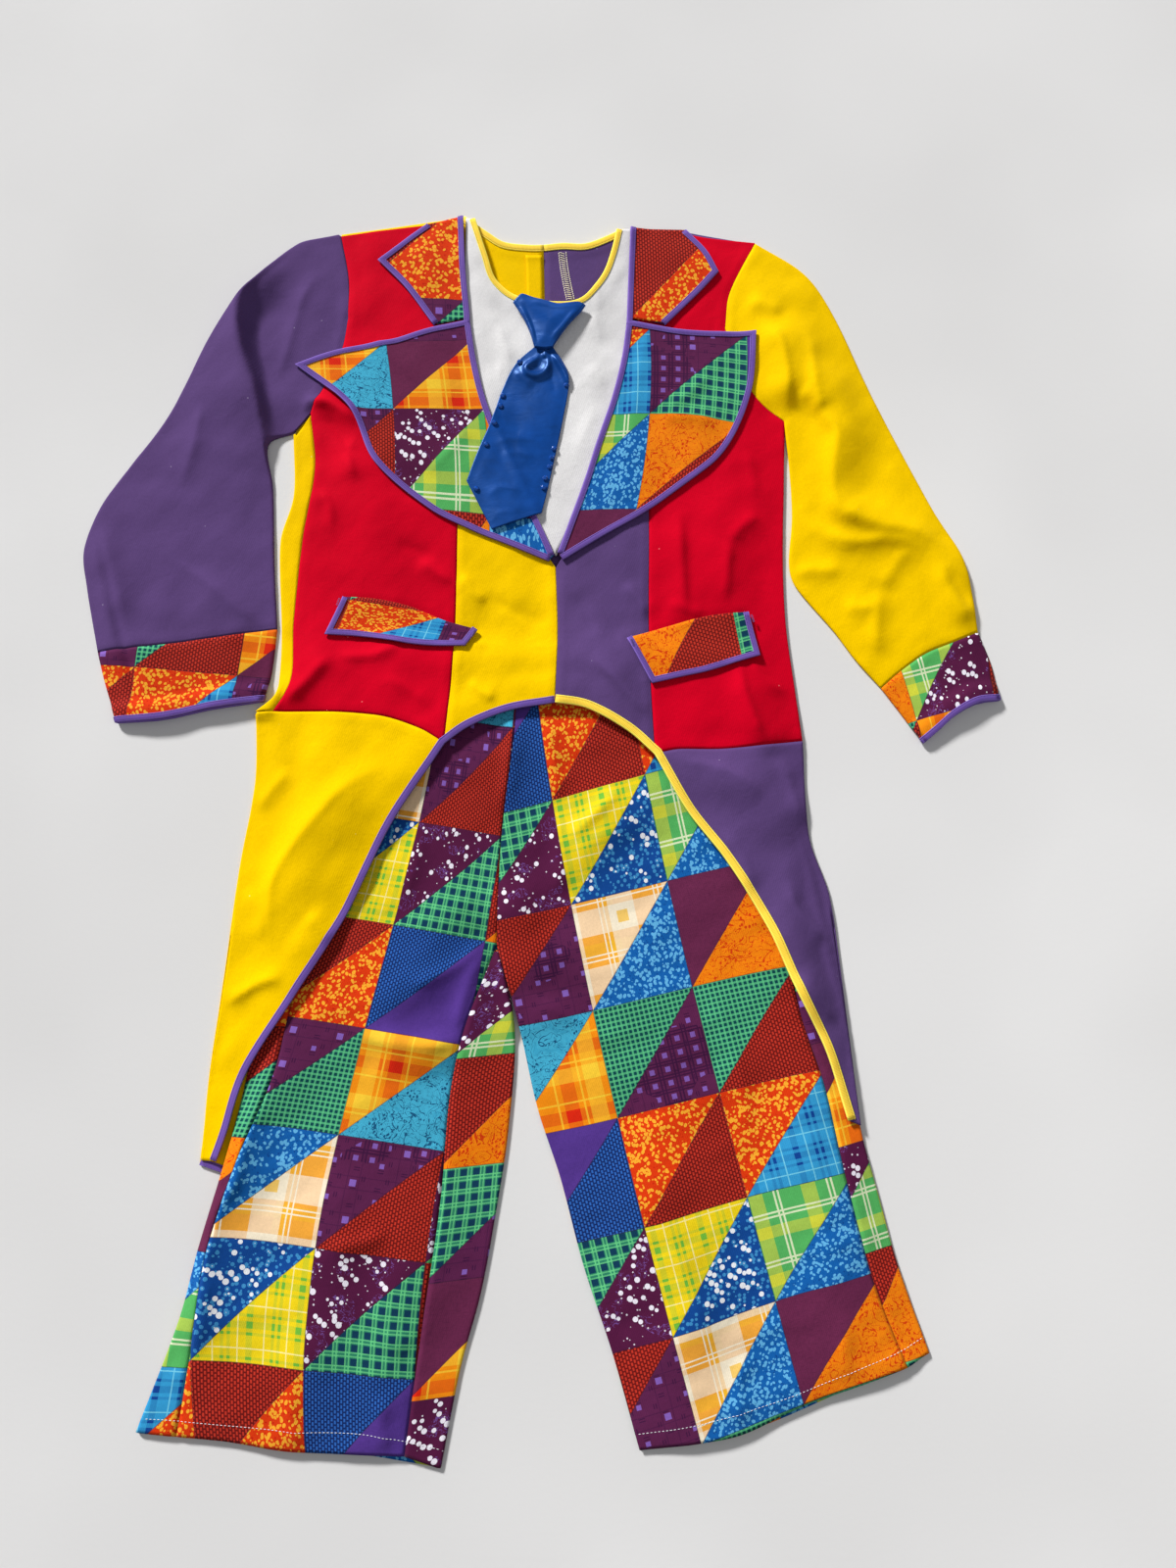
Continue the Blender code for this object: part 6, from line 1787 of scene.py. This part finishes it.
def lay_backs():
    """The lower layer of the coat: flat, and raised only where its edge is bound."""
    pile = Pile()
    bound = near_map(("right_back_neck", "left_back_neck", "right_back_tip"), BIND_REACH)
    low = wall() / 2 + (under_binding() + 0.1) * bound
    LAID.update(pile=pile, low=low)
    webs = {}
    for name in ("coat_back_right", "coat_back_left", "tail_back_right", "tail_back_left"):
        webs[name] = web_of(name, sizes().hidden_cell, sizes().cell if "coat" in name else None)
    pile.cover(webs.values(), low)
    pile.cover_edge(("right_back_neck", "left_back_neck"), low, BIND_COVER, under_binding() + 0.2)
    LAID["coat_back_right"] = raised(webs["coat_back_right"], low)
    for name, slot, sides in (
        ("coat_back_left", "purple_cloth", ("start", "end", "bottom")),
        ("tail_back_right", "yellow_cloth", ("top", "end")),
        ("tail_back_left", "purple_cloth", ("top", "start")),
    ):
        cloth(name, raised(drawn_in(webs[name], sides), low), slot)
    placket = web_of("back_placket")
    height = pile.lay(CLEAR, 1)
    pile.cover([placket], height)
    cloth("back_placket", raised(placket, height), "yellow_cloth")


def lay_trousers():
    """Two legs, each with a front piece and a back piece that turns round the leg."""
    pile = LAID["pile"]
    low = pile.lay(CLEAR, 2)
    hidden, cell = sizes().hidden_cell, sizes().cell
    right = web_of("trouser_back_right", hidden, cell)
    left = web_of("trouser_back_left", hidden, cell)
    pile.cover((right, left), low)
    full = relief_map(TROUSER_OUTLINES, TROUSER_FOLDS, TROUSER_CREASES, TROUSER_SEAMS, TROUSER_WAVES)
    upper = pile.lay(FOLD_AIR, 2, full)
    LAID["trousers"] = upper
    fronts = {name: web_of(name) for name in ("trouser_front_right", "trouser_front_left")}
    pile.cover((right, left, *fronts.values()), upper)
    rows = right.shape[1] - 1
    hip = ends_of(("centre_trousers", "right_leg_inner"), rows)[0]
    outer_seam = run(("right_leg_seam",), rows)
    inner_seam = run(("right_inseam",), rows - hip)[1:]
    places = raised(right, low)
    back, _ = turned(places, outer_seam, upper, 0, TURN_CELLS)
    outer_columns = len(back) - len(places)
    back, gap = turned(back[::-1], inner_seam, upper, hip + 1, INSEAM_CELLS)
    prints = strip_print(back, "right", outer_columns, gap[1] + 1)
    cloth("trouser_back_right", back, "patchwork_cloth", (gap,), printed=prints)
    rows = left.shape[1] - 1
    places = raised(drawn_in(left, ("start",)), low)[::-1]
    back, _ = turned(places, run(("left_leg_seam",), rows), upper, 0, TURN_CELLS)
    prints = strip_print(back, "left", len(back) - len(places))
    cloth("trouser_back_left", back, "patchwork_cloth", printed=prints)
    for side in ("right", "left"):
        name = "trouser_front_" + side
        grid = raised(drawn_in(fronts[name], ("start", "end")), upper)
        if side == "left":
            hip = ends_of(OUTLINES[name][2], grid.shape[1] - 1)[0]
            grid = rolled(grid, "start", low, hip)
        cloth(name, grid, "patchwork_cloth", printed=print_of(name))


def lay_coat():
    """The upper layer of the coat: fronts, tails, sleeves, cuffs and the shirt front."""
    pile, low = LAID["pile"], LAID["low"]
    arms = {name: web_of(name) for name in ("sleeve_right", "sleeve_left", "cuff_right", "cuff_left")}
    pile.cover(arms.values(), low)
    full = relief_map(COAT_OUTLINES, COAT_FOLDS, COAT_CREASES, COAT_SEAMS, COAT_WAVES)
    bound = [height * near_map((name,), reach) for name, (height, reach) in BOUND_EDGES.items()]
    upper = pile.lay(FOLD_AIR, 2, full + np.max(bound, axis=0))
    LAID["upper"] = upper
    names = (
        "front_side_right", "front_centre_right", "tail_front_right", "front_side_left",
        "front_centre_left", "tail_front_left", "shirt_front",
    )
    webs = {name: web_of(name, SHIRT_CELL if name == "shirt_front" else None) for name in names}
    pile.cover((*webs.values(), *arms.values(), web_of("right_strip")), upper)
    pile.cover_edge(("right_cut_centre", "right_cut"), upper, BIND_COVER, under_binding() + 0.25)
    pile.cover_edge(("left_cut_centre", "left_cut", "neckline"), upper, BIND_COVER, under_binding() + 0.25)
    back = LAID["coat_back_right"]
    rows = back.shape[1] - 1
    first = ends_of(OUTLINES["coat_back_right"][2], rows)[2]
    seam = run(("right_strip_seam",), rows - first)
    back, gap = turned(back, seam, upper, first, TURN_CELLS)
    back = drawn_in(back, ("end", "bottom"))
    cloth("coat_back_right", back, "yellow_cloth", (gap,))
    for name, slot, sides, round_sides in (
        ("front_side_right", "red_cloth", ("start", "end", "bottom"), ("top",)),
        ("front_centre_right", "yellow_cloth", ("start", "end"), ()),
        ("tail_front_right", "yellow_cloth", ("top",), ("start",)),
        ("front_side_left", "red_cloth", ("start", "end", "bottom"), ("top", "end")),
        ("front_centre_left", "purple_cloth", ("start", "end"), ()),
        ("tail_front_left", "purple_cloth", ("top",), ("end",)),
        ("shirt_front", "white_cloth", (), ()),
    ):
        grid = raised(drawn_in(webs[name], sides), upper)
        for side in round_sides:
            first_row = 0
            if name == "front_side_left" and side == "end":
                first_row = ends_of(OUTLINES[name][3], webs[name].shape[1] - 1)[1]
            grid = rolled(grid, side, low, first_row)
        cloth(name, grid, slot)
    for side, slot in (("right", "purple_cloth"), ("left", "yellow_cloth")):
        name = "sleeve_" + side
        grid = drawn_in(arms[name], ("top", "bottom"))
        rows = grid.shape[1] - 1
        open_rows = ends_of(OUTLINES[name][3], rows)[-2]
        columns, gap = tube(grid, upper, np.full(rows + 1, wall() / 2), open_rows=open_rows)
        cloth(name, columns, slot, (gap,), closed=True)
        name = "cuff_" + side
        grid = drawn_in(arms[name], ("top",))
        down = np.linalg.norm(grid - grid[:, -1:], axis=2).mean(axis=0)
        lift = (under_binding() + 0.1) * np.exp(-((down / BIND_REACH) ** 6))
        columns, _ = tube(grid, upper, wall() / 2 + lift, fold_points=CUFF_FOLD_POINTS)
        LAID[name] = columns
        cloth(name, columns, "patchwork_cloth", closed=True, printed=print_of(name))


def lay_trims():
    """Collars, lapels and pocket flaps."""
    pile = LAID["pile"]
    full = fullness_map(TRIM_OUTLINES, 1.6) + creases_map(TRIM_CREASES) + waves_map(23, 0.3, 40)
    upper = pile.lay(CLEAR + under_binding(), 2, full)
    LAID["trims"] = upper
    for part in ("collar", "lapel", "flap"):
        for side in ("right", "left"):
            name = "%s_%s" % (part, side)
            grid = web_of(name)
            pile.cover([grid], upper, under_binding() + 0.25)
            made = raised(grid, upper)
            cloth(name, made, "patchwork_cloth", printed=print_of(name))


def lay_tie():
    """A flattened knot and a blade that spreads from it."""
    pile = LAID["pile"]
    blade = web_of("tie_blade", *TIE_CELLS)
    names = ("blade_right", "blade_left", "blade_point_right", "blade_point_left")
    height = pile.lay(CLEAR, 2, fullness_map(names, 1.0, 7))
    LAID["blade"] = height
    pile.cover([blade], height, 0.8)
    cloth("tie_blade", creased(raised(blade, height), TIE_CREASES), "blue_satin", thick=TIE_WALL)
    knot = web_of("tie_knot", *TIE_CELLS)
    least = sampled(pile.lay(CLEAR, 1), knot).max(axis=0)
    low = np.linspace(least[0], least[-1], len(least))
    low += max(0.0, (least - low).max())
    base = np.interp(MAP_PLACES[..., 1], knot[..., 1].mean(axis=0)[::-1], low[::-1])
    names = ("knot_right", "knot_left", "knot_top", "knot_bottom")
    height = base + KNOT_BODY + fullness_map(names, *KNOT_FULLNESS)
    columns, _ = tube(knot, height, low, fold_points=KNOT_FOLD_POINTS)
    over = columns[..., 2] > low + 1.2
    columns[..., 2] = np.where(over, creased(columns.copy(), KNOT_CREASES)[..., 2], columns[..., 2])
    cloth("tie_knot", columns, "blue_satin", closed=True, thick=KNOT_WALL)


def sew_bindings():
    """Strips folded over the free edges."""
    LAID["rows"] = {}
    for name, layer, slot, share, sides in BINDINGS:
        places, ways = edge_frames(*[run((side,), count(BIND_CELL, (side,))) for side in sides])
        bind(name, map_surface(LAID[layer], places, ways), slot, share)
    for side in ("right", "left"):
        bind("cuff_binding_" + side, tube_surface(LAID["cuff_" + side]), "purple_binding", 1.0, True)


def bind(name, surface, slot, share, closed=False):
    """A binding, and where its row of stitches goes."""
    width = sizes().binding_width / MM * share - BIND_OUT
    strip(name, surface, slot, width, closed)
    at, up = surface(width - STITCH_INSET)
    row = at + up * (wall() / 2 + under_binding() - STITCH_DIP)
    LAID["rows"][name] = (slot, np.vstack((row, row[:1])) if closed else row)


# ---- what repeats: stitches and beads


def node_group(name, inputs):
    """A geometry tree with named inputs. An input is a name, a kind and a value."""
    tree = bpy.data.node_groups.new(name, "GeometryNodeTree")
    for socket, kind, value in (("Geometry", "Geometry", None), *inputs, ("Material", "Material", None)):
        made = tree.interface.new_socket(socket, in_out="INPUT", socket_type="NodeSocket" + kind)
        if value is not None:
            made.default_value = value
    tree.interface.new_socket("Geometry", in_out="OUTPUT", socket_type="NodeSocketGeometry")
    return tree


def filled(tree, kinds, links):
    """Fills a tree with named nodes and joins them. A kind has settings, and values for its inputs."""
    nodes = {}
    for name, (kind, settings, values) in kinds.items():
        nodes[name] = tree.nodes.new(kind)
        for key, value in settings.items():
            setattr(nodes[name], key, value)
        for key, value in values.items():
            nodes[name].inputs[key].default_value = value
    for link in links.split(","):
        ends = [end.strip().split(".") for end in link.split(">")]
        (source, out), (target, into) = [(name, int(key) if key.isdigit() else key) for name, key in ends]
        tree.links.new(nodes[source].outputs[out], nodes[target].inputs[into])
    return tree


def stitch_tree():
    """Stitches in rows along the paths of a mesh, each a small ellipsoid along its path."""
    inputs = (
        ("Pitch", "Float", 0.003), ("Length", "Float", 0.002), ("Thickness", "Float", 0.0005),
        ("Turn", "Float", 0.0), ("Seed", "Int", 1),
    )
    kinds = {
        "given": ("NodeGroupInput", {}, {}),
        "made": ("NodeGroupOutput", {}, {}),
        "curve": ("GeometryNodeMeshToCurve", {}, {}),
        "spread": ("GeometryNodeResampleCurve", {"mode": "LENGTH"}, {}),
        "ball": ("GeometryNodeMeshUVSphere", {}, {"Segments": 6, "Rings": 4, "Radius": 0.5}),
        "size": ("ShaderNodeCombineXYZ", {}, {}),
        "place": ("GeometryNodeInstanceOnPoints", {}, {}),
        "tangent": ("GeometryNodeInputTangent", {}, {}),
        "aim": ("FunctionNodeAlignRotationToVector", {"axis": "X"}, {}),
        "about": ("FunctionNodeAxisAngleToRotation", {}, {}),
        "turn": ("FunctionNodeRotateRotation", {"rotation_space": "LOCAL"}, {}),
        "loose": ("FunctionNodeRandomValue", {"data_type": "FLOAT"}, {2: 0.85, 3: 1.12}),
        "length": ("ShaderNodeMath", {"operation": "MULTIPLY"}, {}),
        "real": ("GeometryNodeRealizeInstances", {}, {}),
        "smooth": ("GeometryNodeSetShadeSmooth", {}, {}),
        "coat": ("GeometryNodeSetMaterial", {}, {}),
    }
    links = """
        given.Geometry > curve.Mesh, curve.Curve > spread.Curve, given.Pitch > spread.Length,
        spread.Curve > place.Points, ball.Mesh > place.Instance, tangent.Tangent > aim.Vector,
        given.Turn > about.Angle, aim.Rotation > turn.Rotation, about.Rotation > turn.Rotate By,
        turn.Rotation > place.Rotation, given.Seed > loose.Seed, given.Length > length.0, loose.1 > length.1,
        length.0 > size.X, given.Thickness > size.Y, given.Thickness > size.Z, size.Vector > place.Scale,
        place.Instances > real.Geometry, real.Geometry > smooth.Geometry, smooth.Geometry > coat.Geometry,
        given.Material > coat.Material, coat.Geometry > made.Geometry
    """
    return filled(node_group("Stitch rows", inputs), kinds, links)


def bead_tree():
    """A flat-cut bead on each point of a mesh."""
    kinds = {
        "given": ("NodeGroupInput", {}, {}),
        "made": ("NodeGroupOutput", {}, {}),
        "gem": ("GeometryNodeMeshUVSphere", {}, {"Segments": 8, "Rings": 5, "Radius": 1.0}),
        "size": ("ShaderNodeCombineXYZ", {}, {}),
        "place": ("GeometryNodeInstanceOnPoints", {}, {}),
        "flatter": ("ShaderNodeMath", {"operation": "MULTIPLY"}, {1: 0.62}),
        "spin": ("FunctionNodeRandomValue", {"data_type": "FLOAT"}, {3: 3.0}),
        "angles": ("ShaderNodeCombineXYZ", {}, {}),
        "points": ("GeometryNodeMeshToPoints", {}, {}),
        "real": ("GeometryNodeRealizeInstances", {}, {}),
        "coat": ("GeometryNodeSetMaterial", {}, {}),
    }
    links = """
        given.Geometry > points.Mesh, points.Points > place.Points, gem.Mesh > place.Instance,
        given.Radius > size.X, given.Radius > size.Y, given.Radius > flatter.0, flatter.0 > size.Z,
        size.Vector > place.Scale, given.Seed > spin.Seed, spin.1 > angles.Z, angles.Vector > place.Rotation,
        place.Instances > real.Geometry, real.Geometry > coat.Geometry, given.Material > coat.Material,
        coat.Geometry > made.Geometry
    """
    return filled(node_group("Beads", (("Radius", "Float", 0.002), ("Seed", "Int", 1))), kinds, links)


def grown(name, tree, points, edges, **inputs):
    """The plain mesh that a node tree makes from points in millimetres on the plan, as a piece."""
    mesh = bpy.data.meshes.new(name + "_base")
    mesh.from_pydata([tuple(p) for p in (points + TO_MIDDLE) * MM], edges, [])
    base = bpy.data.objects.new(name + "_base", mesh)
    bpy.context.scene.collection.objects.link(base)
    modifier = base.modifiers.new("grow", "NODES")
    modifier.node_group = tree
    for item in tree.interface.items_tree:
        if item.item_type == "SOCKET" and item.in_out == "INPUT" and item.name in inputs:
            modifier[item.identifier] = inputs[item.name]
    graph = bpy.context.evaluated_depsgraph_get()
    real = bpy.data.meshes.new_from_object(base.evaluated_get(graph))
    real.name = name
    bpy.data.objects.remove(base, do_unlink=True)
    bpy.data.meshes.remove(mesh)
    made = bpy.data.objects.new(name, real)
    bpy.context.scene.collection.objects.link(made)
    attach(made, "root")
    return made


def stitched(name, rows, thread, pitch, length, thickness, turn=0):
    """Rows of stitches as one piece. Each row is a run of points in millimetres, and a turn is in degrees."""
    points, edges = [], []
    for row in rows:
        first = len(points)
        points += [tuple(p) for p in row]
        edges += [(first + k, first + k + 1) for k in range(len(row) - 1)]
    return grown(
        name, LAID["stitch_tree"], np.array(points), edges, Pitch=pitch * MM, Length=length * MM,
        Thickness=thickness * MM, Turn=math.radians(turn), Seed=len(name), Material=MATERIALS[thread],
    )


def on_map(height, row, lift):
    """A row of places lifted on to a sheet whose middle heights a map gives."""
    places = spaced(soft_curve(row), max(2, int(length_of(np.array(row, float)) / 3)))
    return np.column_stack((places, sampled(height, places) + lift))


def sew_rows():
    """Hems, the overlocked seam inside the neck and the tacks at the flaps' corners."""
    LAID["stitch_tree"] = stitch_tree()
    half = wall() / 2
    for name, height, thread, size, rows in STITCH_ROWS:
        lift = half + 0.12 + (under_binding() if height == "trims" else 0.0)
        stitched(name, [on_map(LAID[height], row, lift) for row in rows], thread, *size)
    for name, (slot, row) in LAID["rows"].items():
        stitched(name + "_stitches", [row], slot.split("_")[0] + "_thread", *BINDING_STITCH)


def sew_beads():
    places = np.array([(x, y) for x, y in BEADS], float)
    points = np.column_stack((places, sampled(LAID["blade"], places) + BEAD_LIFT))
    grown("tie_beads", bead_tree(), points, [], Radius=BEAD_RADIUS, Seed=3, Material=MATERIALS["bead"])


# ---- stage

# Lights: name, kind, place, size and power.
LIGHTS = (
    ("window", "SUN", (-2.2, 3.0, 2.0), 0.16, 5.2),
    ("room", "AREA", (1.4, -0.6, 2.0), 2.2, 6),
    ("ceiling", "AREA", (0.0, 0.0, 2.6), 2.5, 5),
)


def set_stage():
    """A pale floor, soft light from the top left and a camera looking down past the hems."""
    scene = bpy.context.scene
    shade = Shade("floor")
    tone = shade.ramp(shade.noise(shade.place(), 3.0, 2.0), FLOOR_TONES)
    shade.finish(tone, shade.bump(shade.noise(shade.place(), 220.0), 0.0003, 0.2), (0.85, 0.95))
    mesh = bpy.data.meshes.new("floor")
    corners = [(x * FLOOR_HALF, y * FLOOR_HALF, 0) for x, y in ((-1, -1), (1, -1), (1, 1), (-1, 1))]
    mesh.from_pydata(corners, [], [(0, 1, 2, 3)])
    mesh.materials.append(shade.material)
    floor = bpy.data.objects.new("floor", mesh)
    scene.collection.objects.link(floor)
    camera = bpy.data.cameras.new("camera")
    camera.lens = LENS
    eye = bpy.data.objects.new("camera", camera)
    eye.location = EYE
    eye.rotation_euler = (math.radians(EYE_TILT), 0, 0)
    scene.collection.objects.link(eye)
    scene.camera = eye
    for name, kind, place, size, power in LIGHTS:
        lamp = bpy.data.lights.new(name, kind)
        setattr(lamp, "angle" if kind == "SUN" else "size", size)
        lamp.energy = power
        made = bpy.data.objects.new(name, lamp)
        made.location = place
        made.rotation_euler = (-mathutils.Vector(place)).to_track_quat("-Z", "Y").to_euler()
        scene.collection.objects.link(made)
    world = bpy.data.worlds.new("room")
    world.use_nodes = True
    sky = world.node_tree.nodes["Background"].inputs
    sky["Color"].default_value = ROOM_COLOUR
    sky["Strength"].default_value = ROOM_STRENGTH
    scene.world = world
    scene.view_settings.view_transform = "Standard"


# ---- operators


class CostumeOperator:
    """Runs one step of the costume."""

    bl_options = {"REGISTER", "UNDO"}

    def execute(self, context):
        self.step()
        return {"FINISHED"}


class COSTUME_OT_cloths(CostumeOperator, bpy.types.Operator):
    """Make the materials"""

    bl_idname = "costume.cloths"
    bl_label = "Cloths"

    def step(self):
        make_cloths()


class COSTUME_OT_backs(CostumeOperator, bpy.types.Operator):
    """Lay the lower layer of the coat and the placket"""

    bl_idname = "costume.backs"
    bl_label = "Coat back"

    def step(self):
        lay_backs()


class COSTUME_OT_trousers(CostumeOperator, bpy.types.Operator):
    """Lay the trousers on the coat's back"""

    bl_idname = "costume.trousers"
    bl_label = "Trousers"

    def step(self):
        lay_trousers()


class COSTUME_OT_coat(CostumeOperator, bpy.types.Operator):
    """Lay the coat's fronts, tails, sleeves and cuffs, and the shirt front"""

    bl_idname = "costume.coat"
    bl_label = "Coat front"

    def step(self):
        lay_coat()


class COSTUME_OT_trims(CostumeOperator, bpy.types.Operator):
    """Lay the collars, lapels and pocket flaps"""

    bl_idname = "costume.trims"
    bl_label = "Collar, lapels and flaps"

    def step(self):
        lay_trims()


class COSTUME_OT_tie(CostumeOperator, bpy.types.Operator):
    """Lay the tie"""

    bl_idname = "costume.tie"
    bl_label = "Tie"

    def step(self):
        lay_tie()


class COSTUME_OT_bindings(CostumeOperator, bpy.types.Operator):
    """Fold bindings over the free edges"""

    bl_idname = "costume.bindings"
    bl_label = "Bindings"

    def step(self):
        sew_bindings()


class COSTUME_OT_stitches(CostumeOperator, bpy.types.Operator):
    """Sew the rows of stitches"""

    bl_idname = "costume.stitches"
    bl_label = "Stitches"

    def step(self):
        sew_rows()


class COSTUME_OT_beads(CostumeOperator, bpy.types.Operator):
    """Sew the beads on the tie"""

    bl_idname = "costume.beads"
    bl_label = "Beads"

    def step(self):
        sew_beads()


class COSTUME_OT_stage(CostumeOperator, bpy.types.Operator):
    """Set the floor, the lights and the camera"""

    bl_idname = "costume.stage"
    bl_label = "Stage"

    def step(self):
        set_stage()


STEPS = (
    COSTUME_OT_cloths, COSTUME_OT_backs, COSTUME_OT_trousers, COSTUME_OT_coat, COSTUME_OT_trims,
    COSTUME_OT_tie, COSTUME_OT_bindings, COSTUME_OT_stitches, COSTUME_OT_beads, COSTUME_OT_stage,
)


class COSTUME_PT_panel(bpy.types.Panel):
    """The costume's sizes, colours and steps."""

    bl_idname = "COSTUME_PT_panel"
    bl_label = "Clown Costume"
    bl_space_type = "VIEW_3D"
    bl_region_type = "UI"
    bl_category = "Costume"

    def draw(self, context):
        for group in (context.scene.costume_sizes, context.scene.costume_colours):
            box = self.layout.box()
            for name in group.__annotations__:
                box.prop(group, name)
        for step in STEPS:
            self.layout.operator(step.bl_idname)


CLASSES = (CostumeSizes, CostumeColours, *STEPS, COSTUME_PT_panel)


def register():
    for kind in CLASSES:
        bpy.utils.register_class(kind)
    bpy.types.Scene.costume_sizes = bpy.props.PointerProperty(type=CostumeSizes)
    bpy.types.Scene.costume_colours = bpy.props.PointerProperty(type=CostumeColours)


def unregister():
    del bpy.types.Scene.costume_colours
    del bpy.types.Scene.costume_sizes
    for kind in reversed(CLASSES):
        bpy.utils.unregister_class(kind)


def make_cloths():
    colours = bpy.context.scene.costume_colours
    for name in ("yellow_cloth", "purple_cloth", "red_cloth", "white_cloth"):
        MATERIALS[name] = cloth_material(name, tuple(getattr(colours, name)))
    for name in ("purple_binding", "yellow_binding"):
        colour = tuple(getattr(colours, name))
        MATERIALS[name] = binding_material(name, colour)
        thread = name.split("_")[0] + "_thread"
        MATERIALS[thread] = thread_material(thread, tuple(min(1.0, c * 0.9 + 0.02) for c in colour))
    for name, colour in THREADS.items():
        MATERIALS[name] = thread_material(name, colour)
    MATERIALS["blue_satin"] = satin_material("blue_satin", tuple(colours.blue_satin))
    MATERIALS["bead"] = bead_material("bead", BEAD_COLOUR)
    MATERIALS["patchwork_cloth"] = patchwork_material("patchwork_cloth")


def main():
    register()
    for step in STEPS:
        getattr(bpy.ops.costume, step.bl_idname.split(".")[1])()


if __name__ == "__main__":
    main()
